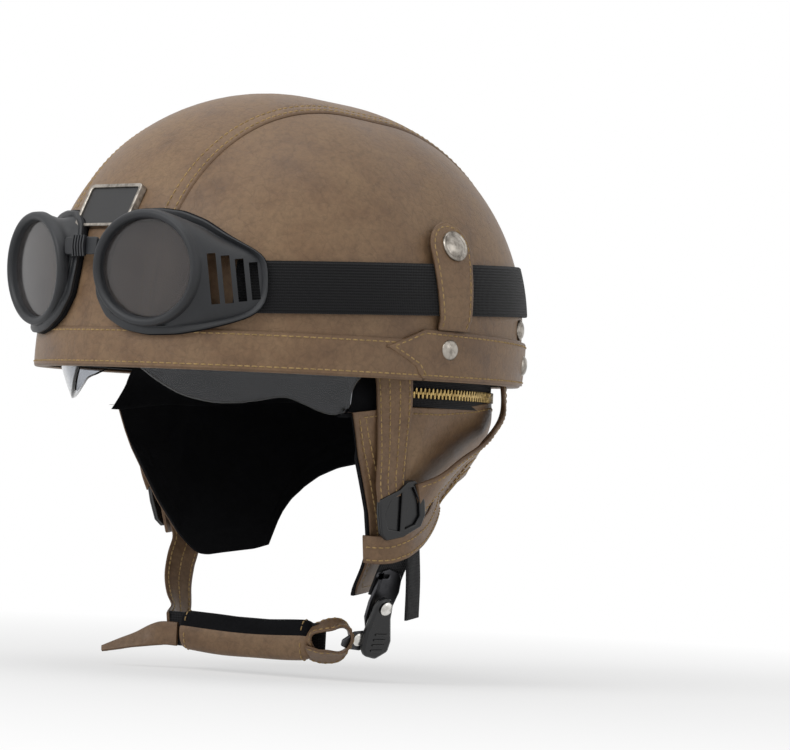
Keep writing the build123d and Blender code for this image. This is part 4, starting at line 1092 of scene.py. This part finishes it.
def neckSpot(walk, fall, inset):
    # A barrel that leans forward: half round at the back, with straight legs beside the face
    form = neckForm
    walk, fall = np.broadcast_arrays(walk, fall)
    shares = flow(np.stack([form.falls, form.shares], -1), 600)[::8, 1][:75]
    share = np.interp(fall, np.linspace(-36, 112, 75), shares)
    ring = form.radius * share - inset
    turn, leg = neckPlan(walk)
    x = ring * np.cos(turn) * (1 - np.interp(fall, *zip(*form.squeeze)) * np.sin(turn))
    lean = np.where(x < 0, np.interp(fall, *zip(*form.farLean)), -np.interp(fall, *zip(*form.nearLean)))
    x = x + lean * np.minimum(1, np.abs(x) / 40)
    y, z = ring * np.sin(turn) + leg, -fall
    tiltCos, tiltSin = math.cos(form.tilt), math.sin(form.tilt)
    return pack(x, form.middle[0] + y * tiltCos + z * tiltSin, form.middle[1] - y * tiltSin + z * tiltCos)


def neckEdge(walk, table, farTable, low, high):
    # The fall at which a line down the curtain crosses an edge drawn in y and z, by halving
    start, stop = np.full(walk.shape, float(low)), np.full(walk.shape, float(high))
    for _ in range(36):
        middle = (start + stop) / 2
        x, y, z = neckSpot(walk, middle, 0).T
        above = z > np.where(x < 0, np.interp(y, *zip(*farTable)), np.interp(y, *zip(*table)))
        start, stop = np.where(above, middle, start), np.where(above, stop, middle)
    return (start + stop) / 2


def neckNormals(walk, fall):
    step = 0.5
    along = neckSpot(walk + step, fall, 0) - neckSpot(walk - step, fall, 0)
    down = neckSpot(walk, fall + step, 0) - neckSpot(walk, fall - step, 0)
    return unit(np.cross(down, along))


def makeCurtain():
    form = neckForm
    leg = np.linspace(0, form.leg, 60)
    walk = np.r_[-form.leg + leg[:-1], np.linspace(0, neckTurn, 150), neckTurn + leg[1:]]
    top = neckEdge(walk, form.high, form.high, -30, 45)
    low = np.maximum(neckEdge(walk, form.low, form.farLow, -30, 112), top + 0.02)
    share = np.r_[0, 0.01, 0.03, np.linspace(0.06, 0.94, 40), 0.97, 0.99, 1][:, None]
    fall = top + (low - top) * share
    fromEdge = low - fall
    points = neckSpot(walk[None, :], fall, 0)
    normals = neckNormals(np.broadcast_to(walk[None, :], fall.shape), fall)
    sway = form.ripple * np.sin(walk / form.rippleLong + 0.8)[None, :] * smoothStep(fall - top, 2, 30)
    sway = sway * smoothStep(fromEdge, 0, 12)
    groove = form.groove * np.exp(-((fromEdge - form.hemRow) / form.grooveWide)**2)
    points = points + normals * (sway - groove)[..., None]
    # Lower edge of the curtain darkened: partly wear, partly painted shade on its hem
    rim = 0.6 * np.exp(-fromEdge / 1.5)
    curtain = makePiece("curtain_leather", points, None, "helmet", leather, ("neck_curtain",), rim=rim,
        away=(0, 20, -60), wall=form.skin)
    wider = 1.0 + 0.25 * (walk < 4) + 0.25 * (walk > neckTurn - 4)
    lines = [(low - form.hemRow * wider, 0.2), (top + form.topRow, 0.0), (low - form.hemPair * wider, 0.2)]
    for line, sunk in lines:
        # The row near the top stops where the curtain gets low
        good = line > top + 3 if sunk else (low - top) > 12
        facing = neckNormals(walk, line)
        sew("helmet", (neckSpot(walk, line, 0) - sunk * facing)[good], facing[good])
    # Fleece lining: a thick pile that thins out where the visor passes
    lining = neckSpot(walk[None, :], fall, form.gap)
    full = np.maximum(smoothStep(lining[..., 1], *form.visorY), smoothStep(-lining[..., 2], *form.visorDrop))
    thick = form.thin + form.pile * full
    pinch = sum(deep * np.exp(-((fromEdge - row) / wide)**2) for row, deep, wide in form.quilting)
    closing = np.clip(np.minimum(fromEdge, fall - top) / form.pileEdge + 0.6, 0, 1)**0.5
    thick = thick * closing - pinch * (thick > 1.5)
    inside = neckSpot(walk[None, :], fall, form.gap + thick)
    lower = neckSpot(walk[None, :], fall + 1, form.gap)
    grow = smoothStep(form.hemRoll - fromEdge, 0, form.hemRoll)[..., None] * 0.9 * (lower - lining)
    shell = np.concatenate([lining + grow, (inside + grow)[::-1]])
    rows, columns = shell.shape[:2]
    faces = gridFaces(rows, columns, wrapRows=True).tolist()
    faces += [[row * columns + end for row in range(rows)] for end in (0, columns - 1)]
    pile = makePiece("curtain_fleece", shell, faces, "helmet", fleece, ("curtain_lining",), closed=True)
    # The lining goes on upwards and closes the gap to the comfort liner
    turn, leg = neckPlan(walk)
    share = np.linspace(0, 1, 14)[:, None]
    spot = neckSpot(walk[None, :], top + 2.5 - 2 * share, 3.0 + 0.2 * share)
    ring = form.skirtRing - form.skirtBend * share**1.6
    inner = pack(ring * np.cos(turn), form.middle[0] + ring * np.sin(turn) + np.maximum(leg, -form.skirtLeg),
        form.skirtRise[0] + form.skirtRise[1] * share + 0 * turn)
    blend = smoothStep(share, 0, 0.3)[..., None]
    skirt = spot * (1 - blend) + inner * blend
    bridge = makePiece("curtain_skirt", skirt, None, "helmet", fleece, away=(0, 20, -20), wall=form.skirtWall)


makeCurtain()
print("stage: curtain")

# Zip between the rim and the curtain
zipForm = Form(middle=20.0, radius=97.75, start=-8.0, end=188.0, tape=0.7, upper=(-6.5, -0.4),
    lower=(-14.9, -8.8), pitch=2.75, tooth=(1.35, 3.4, 1.25), chain=-7.65)


def roundSpot(angle, out, height):
    turn = np.radians(angle)
    return pack(out * np.cos(turn), zipForm.middle + out * np.sin(turn), height)


def makeZip():
    form = zipForm
    angle = np.linspace(form.start, form.end, 130)
    for name in ("upper", "lower"):
        low, high = getattr(form, name)
        height = np.linspace(low, high, 7)
        points = roundSpot(angle[None, :], form.radius + form.tape, height[:, None])
        uv = pack(np.radians(angle)[None, :] * form.radius, height[:, None])
        makePiece(f"tape_{name}", points, None, "helmet", tapeWeave, (f"zip_tape_{name}",), uv=uv, away=(0, 20, -8),
            wall=form.tape)
    # Teeth: a bevelled block each, upper and lower in turn
    wide, tall, deep = form.tooth
    step = math.degrees(form.pitch / form.radius)
    profile = np.array([(-1, -0.6), (-0.6, -1), (0.6, -1), (1, -0.6), (1, 0.6), (0.6, 1), (-0.6, 1), (-1, 0.6)]) / 2
    for name, way, offset in (("upper", 1, 0.0), ("lower", -1, 0.5)):
        turns = np.arange(form.start + 1 + offset * step, form.end - 4, step)
        stages = np.array([(0.0, 0.9), (0.25, 1.0), (0.8, 1.0), (1.0, 0.72)])
        across = profile[None, None, :, 0] * wide * stages[None, :, 1, None]
        up = form.chain + way * 1.0 + profile[None, None, :, 1] * tall * (0.8 + 0.2 * stages[None, :, 1, None])
        out = form.radius + form.tape + deep * stages[None, :, 0, None]
        angle = turns[:, None, None] + np.degrees(across / form.radius)
        points = roundSpot(angle + 0 * up, out + 0 * up + 0 * angle, up + 0 * angle)
        count, levels, around = points.shape[:3]
        makePiece(f"teeth_{name}", points, tubeFaces(levels, around, count), "helmet", brass, (f"zip_teeth_{name}",),
            weld=0.001, closed=True, sharp=30)


makeZip()
print("stage: zip")

# Harness of both sides
harnessForm = Form(width=19.5, thick=2.3, keeperWidth=15.0, keeperThick=1.5,
    frontRows=(-0.40, -0.14, 0.14, 0.40), rearRows=(-0.4, 0.4), keeperRows=(-0.36, 0.1),
    front=[((103.6, -10.4, 5.5), (0.55, 0.84, 0)), ((104.0, -9.5, 0.3), (0.5, 0.86, 0)),
        ((103.5, -7.9, -11.9), (0.4, 0.91, 0.05)), ((102, -6.4, -27.3), (0.2, 0.95, 0.2)),
        ((99.6, -4.6, -42.6), (0.05, 0.92, 0.38)), ((98.5, -3.9, -55.5), (0, 0.89, 0.45)),
        ((98.2, -2.2, -62), (0, 0.89, 0.45))],
    rear=[((76.6, 90.2, 4.5), (-0.7, 0.7, 0)), ((77.6, 90.6, -0.6), (-0.7, 0.7, 0)),
        ((81, 88, -14), (-0.72, 0.69, 0)), ((88.5, 71.5, -29), (-0.77, 0.64, 0)),
        ((95.5, 45, -44.5), (-0.74, 0.64, -0.15)), ((98.6, 25, -57.5), (-0.6, 0.65, -0.45)),
        ((99.4, 15, -63), (-0.3, 0.6, -0.74))],
    keeper=[((85, -8.6, -88.9), (0.1, -0.25, 0.96)), ((90.4, -6.0, -89.2), (0.1, -0.25, 0.96)),
        ((94.6, 0.2, -88.8), (0.13, -0.35, 0.93)), ((96.2, 8.3, -86.4), (0.12, -0.17, 0.97)),
        ((91.6, 23.4, -80.8), (0.08, -0.05, 0.99)), ((84, 36.4, -75), (0.06, -0.03, 0.99)),
        ((74, 50.3, -64.6), (0.18, -0.36, 0.91)), ((68.5, 55.5, -61), (0.2, -0.4, 0.9))])
dividerForm = Form(origin=(97.8, 6, -67), out=(0.991, 0, -0.132),
    shape=[(-17.5, 4.0), (-5.0, 9.5), (-0.3, 13.8), (4.4, 14.6), (8.8, 11.0), (13.0, 4.0), (14.5, -3.0),
        (12.5, -9.0), (1.0, -15.0), (-9.5, -17.0), (-13.5, -13.5), (-16.5, -3.0)],
    window=[(-12.8, -3.2), (-10.2, 3.6), (-3.2, 8.4), (-1.2, -12.0), (-9.6, -11.0)],
    slot=[(0.2, 10.4), (4.0, 11.4), (9.0, 4.2), (10.8, -3.6), (8.2, -8.2), (1.4, -11.0)])


def makeHarness():
    form, plate = harnessForm, dividerForm
    out, along = np.array(plate.out), np.array([0.0, 1.0, 0.0])
    for name, side in (("left", 1), ("right", -1)):
        # The far keeper follows the outside of its own flap
        rise = farForm.keeperRise * (side < 0)
        stations = form.keeper[1:6] if side < 0 else form.keeper
        keeper = [((x + rise / 2, y, z + rise), wide) for (x, y, z), wide in stations]
        straps = (("strap_front", "front_strap", form.front, form.width, form.thick, form.frontRows),
            ("strap_rear", "rear_strap", form.rear, form.width, form.thick, form.rearRows),
            ("keeper", "strap_keeper", keeper, form.keeperWidth, form.keeperThick, form.keeperRows))
        for kind, key, path, width, thick, rows in straps:
            makeStrap(f"{kind}_{name}", path, width, thick, "helmet", strapLeather, (f"{name}_{key}",), rows=rows,
                face=side, side=side)
        mirror = np.array((-1, 1, 1))
        origin = plate.origin if side > 0 else leanIn(plate.origin * mirror) * mirror
        layers = (("divider", -1.4, 0.2, (f"{name}_strap_divider",), (), 0.3),
            ("divider_rim", 0.2, 1.9, (), [plate.window, plate.slot], 0.6))
        for kind, low, high, stands, holes, bevel in layers:
            makePlate(f"{kind}_{name}", plate.shape, origin, along, np.cross(out, along), low, high, "helmet",
                blackPlastic, stands, holes, bevel, side)


makeHarness()

# Buckle
buckleForm = Form(origin=np.array((81, 9.2, -118.2)), lean=math.radians(21.0), rivet=2.3, shift=-5.0,
    plateSpan=(0.0, 1.6), leverSpan=(4.2, 8.2), tongueSpan=(2.1, 3.7), ridges=4, ridgePitch=3,
    plate=[(-2.2, 18.0), (1.0, 19.2), (8.6, 17.2), (11.6, 13.5), (12.6, 6.4), (11.4, 0.2), (9.5, -9),
        (7.5, -17), (-1.5, -17), (-5.6, -8), (-5.8, 0.5), (-4.6, 8)],
    lever=[(-5.8, 0.5), (-4.2, 3.6), (-0.6, 5.2), (3, 4.4), (5.2, 1.6), (6.4, -6.0), (11.0, -18.5),
        (10.8, -24.8), (3.6, -29.1), (-3.6, -27.6), (-6.8, -23.5), (-7.4, -14.0)],
    tongue=[(-17.5, -23.6), (-17.8, -20.4), (-11.2, -15.6), (-5.0, -15.0), (0, -12), (3, -13), (3, -21),
        (0, -24), (-5.1, -26.0), (-13, -25.2)],
    pin=(-7.6, -19.6),
    cap=[(0, 1.25), (1.2, 1.2), (2.4, 0.95), (3.3, 0.5), (3.7, 0.0), (3.6, -0.3), (0, -0.3)])
buckleAlong = np.array([0.0, 1.0, 0.0])
buckleOut = np.array([math.cos(buckleForm.lean), 0.0, -math.sin(buckleForm.lean)])
buckleUp = np.cross(buckleOut, buckleAlong)


def buckleSpot(x, y, out):
    return buckleForm.origin + x * buckleAlong + y * buckleUp + (out + buckleForm.shift) * buckleOut


def makeBuckle():
    form = buckleForm
    common = (buckleSpot(0, 0, 0), buckleAlong, buckleUp)
    slot = (np.array(roundBox(7.6, 2.4, 1.1)) + (-1, 15)).tolist()
    plates = (("plate", "housing", form.plate, form.plateSpan, "helmet", darkSteel, [slot], 0.5),
        ("handle", "lever", form.lever, form.leverSpan, "lever", blackPlastic, (), 1.3),
        ("clip", "tongue", form.tongue, form.tongueSpan, "chin_strap", darkSteel, (), 0.45))
    for name, key, shape, span, body, finish, holes, bevel in plates:
        makePlate(f"buckle_{name}", shape, *common, *span, body, finish, (f"buckle_{key}",), holes, bevel)
    for index in range(form.ridges):
        spot = buckleSpot(2.6, -15 - form.ridgePitch * index, 8.1)
        makePlate(f"handle_ridge_{index}", roundBox(8.5, 1.2, 0.55), spot, buckleAlong, buckleUp, 0.0, 0.7, "lever",
            blackPlastic, bevel=0.25)
    turnedSet("buckle_rivet_head", form.cap, [(buckleSpot(0, 0, 9.2), buckleOut)], "helmet", brightNickel,
        ("buckle_rivet",))
    turnedSet("buckle_rivet_shank", [(0, 8.8), (form.rivet, 8.8), (form.rivet, 0.2), (0, 0.2)],
        [(buckleSpot(0, 0, 0.0), buckleOut)], "helmet", nickel, sides=20)
    turnedSet("tongue_rivet_head", form.cap, [(buckleSpot(*form.pin, 4.0), buckleOut)], "chin_strap", brightNickel)
    line = [((94.6, 7, -72), (0, 1, 0)), ((92.6, 9.5, -80), (0, 1, 0)), ((90.3, 11.5, -87.5), (0, 1, 0)),
        (tuple(buckleSpot(4.5, 15, -1.1)), (0, 1, 0)), (tuple(buckleSpot(3.5, 3, -1.1)), (0, 1, 0))]
    makeStrap("webbing_left", line, 19.0, 1.5, "helmet", webbingWeave, ("buckle_webbing",))
    wide = (-0.37, 0.93, 0)
    line = [((93.5, 15, -70), wide), ((91, 18, -77), wide), ((88, 22, -86.1), wide), ((86, 25.5, -104.2), wide),
        ((84, 27.4, -124.5), wide)]
    makeStrap("webbing_tail", line, 15.0, 1.5, "helmet", webbingWeave)


makeBuckle()
print("stage: harness and buckle")

# Chin strap and pad
chinForm = Form(width=18.0, loopWidth=17.0, tailWidths=(12.6, 12.6, 11.0, 8.0, 3.5),
    loop=[(45.9, -12.0, -138.2), (49.6, -10.7, -133.0), (55.6, -7.1, -129.9), (61.6, -3.4, -129.3),
        (66.3, -0.5, -131.2), (67.8, 0.7, -135.5), (65.8, -0.2, -140.8), (60.7, -3.1, -144.8),
        (54.2, -7.1, -146.0), (47.7, -11.2, -144.4)],
    start=np.array((47.0, -8.0, -138.0)), end=np.array((-33.0, -30.2, -137.0)), tall=21.0, deep=10.6, slide=8.0,
    split=2.1, farSpare=1.6, flatness=0.8, steepness=0.9, roundEnd=7.0, endPower=2.4, endShare=0.32, sag=1.6,
    hanger=[((-91.5, 7, -72), (0, 1, 0)), ((-84.5, 6.5, -80), (0, 1, 0)), ((-78, 5.1, -91), (0.1, 0.98, -0.2)),
        ((-74, -1, -102), (0.2, 0.9, -0.4)), ((-68, -7.2, -112.5), (0.3, 0.75, -0.55)),
        ((-60, -12.3, -123), (0.4, 0.5, -0.75)), ((-52, -18, -131), (0.3, 0.25, -0.9))])


def makeChinStrap():
    form = chinForm
    way = unit(form.end - form.start)
    start, end = form.start - way * form.slide, form.end + way * (form.slide + form.farSpare)
    upright = (0, 0, -1)
    makeStrap("chin_hanger", form.hanger + [(tuple(end), upright)], form.width, 1.5, "chin_strap", strapLeather,
        ("chin_strap_hanger",), rows=(-0.38, 0.0, 0.38), face=1)
    makeStrap("chin_band", [(tuple(end + way * 0.5), upright), (tuple((start + end) / 2), upright),
        (tuple(start), upright)], form.width, 1.4, "chin_strap", webbingWeave, ("chin_strap_band",))
    # The loop goes out to the tongue and comes back on itself, open between its two runs
    above, turned, below = (0.72, -0.62, -0.3), (0.8, -0.6, 0.05), (0.72, -0.58, 0.4)
    line = list(zip(form.loop, [upright, above, above, above, turned, turned, turned, below, below, below]))
    makeStrap("chin_loop", line, form.loopWidth, 1.6, "chin_strap", strapLeather, ("chin_strap_loop",),
        rows=(-0.4, 0.4), face=-1, count=90)
    tail = end + np.array((-1.2, -2.6, -3.0))
    line = [(tuple(tail - np.array((-9.0, -2.5, 0.0))), upright), (tuple(tail), upright),
        (tuple(tail + (-12, -8, -4)), (0.5, -0.4, -0.7)), (tuple(tail + (-28, -19, -10)), (0.5, -0.4, -0.7))]
    makeStrap("chin_tail", line, form.tailWidths, 1.5, "chin_strap", strapLeather, ("chin_strap_tail",),
        rows=(-0.33, 0.33), face=-1)
    # Pad: an oval section, fuller in the middle and closed at both ends, cut in two at the seam
    aside = unit(np.cross((0, 0, 1), way))
    upward = np.cross(way, aside)
    length = float(np.linalg.norm(form.end - form.start))
    ways = np.linspace(0, 1, 60)
    near = np.minimum(ways, 1 - ways) * length
    rounding = (1 - np.clip(1 - near / form.roundEnd, 0, 1)**form.endPower)**(1 / form.endPower)
    swell = rounding * form.endShare + (1 - form.endShare) + 0.02 * np.sin(ways * 11)
    sag = -form.sag * np.sin(np.pi * ways)
    split = math.asin(form.split / (form.tall / 2))
    parts = (("pad_leather", math.pi - split, 2 * math.pi + split, leather, "chin_pad_sleeve"),
        ("pad_fleece", split, math.pi - split, fleece, "chin_pad_fleece"))
    for name, first, last, finish, stand in parts:
        turn = np.linspace(first, last, 40)
        tight = np.minimum(turn - first, last - turn)
        pull = 1 - 0.07 * np.exp(-tight / 0.10)
        flat = np.sign(np.cos(turn)) * np.abs(np.cos(turn))**form.flatness
        steep = np.sign(np.sin(turn)) * np.abs(np.sin(turn))**form.steepness
        cross = np.stack([flat * form.deep / 2 * pull, steep * form.tall / 2 * pull], -1)
        chord = np.linspace(cross[-1], cross[0], 12)[1:-1]
        cross = np.concatenate([cross, chord])
        swollen = cross[None] * swell[:, None, None]
        points = (form.start + ways[:, None, None] * length * way + swollen[..., 0, None] * aside
            + (swollen[..., 1, None] + sag[:, None, None]) * upward)
        makePiece(name, points, tubeFaces(*points.shape[:2]), "chin_pad", finish, (stand,), closed=True,
            sharp=60)
        for share in (0.055, 0.945):
            ring = points[int(round(share * (len(points) - 1)))]
            sew("chin_pad", ring[3:37], unit(ring[:40] - ring.mean(0))[3:37], 0.15, 3.2)


makeChinStrap()
makeStitches()
print("stage: chin strap and stitches")

# Carried-over nodes
nodeFinishes = {"helmet_shell": satinPlastic, "eps_liner": foamFinish, "visor_pivots": satinPlastic,
    "snap_studs": nickel, "zip_slider": brass, "zip_pull": brass}
for name, finish in nodeFinishes.items():
    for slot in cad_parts[name].material_slots:
        slot.material = finish

# Floor, backdrop and light
stageForm = Form(floor=cadBox[0][2] - 0.0006, size=8.0, fade=(0.16, 0.75), paper=0.55, world=0.34,
    tone=(0.93, 0.93, 0.93, 1), aim=(0, 0, 0.02))


def seenRays(step):
    # 1 for the rays of the camera and of reflections, and the light path itself
    path = step("LightPath")
    rays = {0: path.outputs["Is Camera Ray"], 1: path.outputs["Is Glossy Ray"]}
    return step("Math", rays, operation="MAXIMUM"), path


def makeStage():
    # White paper that keeps the shadow near the part and fades into the backdrop
    form = stageForm
    mesh = bpy.data.meshes.new("floor")
    corners = [(x * form.size, y * form.size, form.floor) for x, y in ((-1, -1), (1, -1), (1, 1), (-1, 1))]
    mesh.from_pydata(corners, [], [(0, 1, 2, 3)])
    material = bpy.data.materials.new("floorPaper")
    material.use_nodes = True
    tree = material.node_tree
    tree.nodes.clear()
    step = stepper(tree)
    far = step("VectorMath", {0: step("TexCoord").outputs["Object"]}, operation="LENGTH").outputs["Value"]
    fade = step("MapRange", {"Value": far, "From Min": form.fade[0], "From Max": form.fade[1], "To Min": form.paper})
    share = step("Math", {0: seenRays(step)[0].outputs[0], 1: fade.outputs["Result"]}, operation="MULTIPLY")
    paper, glow = step("BsdfDiffuse", {"Color": form.tone}), step("Emission")
    mix = step("MixShader", {0: share.outputs[0], 1: paper.outputs[0], 2: glow.outputs[0]})
    step("OutputMaterial", {0: mix.outputs[0]})
    mesh.materials.append(material)
    floor = bpy.data.objects.new("floor", mesh)
    scene.collection.objects.link(floor)
    world = bpy.data.worlds.new("studio")
    scene.world = world
    world.use_nodes = True
    world.node_tree.nodes.clear()
    step = stepper(world.node_tree)
    seen, path = seenRays(step)
    clear = step("Math", {0: seen.outputs[0], 1: path.outputs["Is Transmission Ray"]}, operation="MAXIMUM")
    level = step("MapRange", {"To Min": form.world, "To Max": 1.0, "Value": clear.outputs[0]})
    sky = step("Background", {"Color": (1, 1, 1, 1), "Strength": level.outputs["Result"]})
    step("OutputWorld", {0: sky.outputs[0]})


def makeLamp(name, place, size, energy):
    data = bpy.data.lights.new(name, "AREA")
    data.shape, data.size, data.energy = "SQUARE", size, energy
    away = unit(place - np.array(stageForm.aim))
    aside = unit(np.cross((0, 0, 1), away))
    standAt(bpy.data.objects.new(name, data), aside, np.cross(away, aside), away, place)


makeStage()
lamps = (("key", 1.0, -1.3, 1.3, 1.1, 14.5), ("fill", 1.2, 1.5, 0.7, 1.0, 2.5), ("top", 0.2, 0.0, 1.8, 1.0, 6.0))
for name, toward, aside, height, size, energy in lamps:
    makeLamp(name, back * toward + right * aside + np.array((0, 0, height)), size, energy)
print("stage: light")
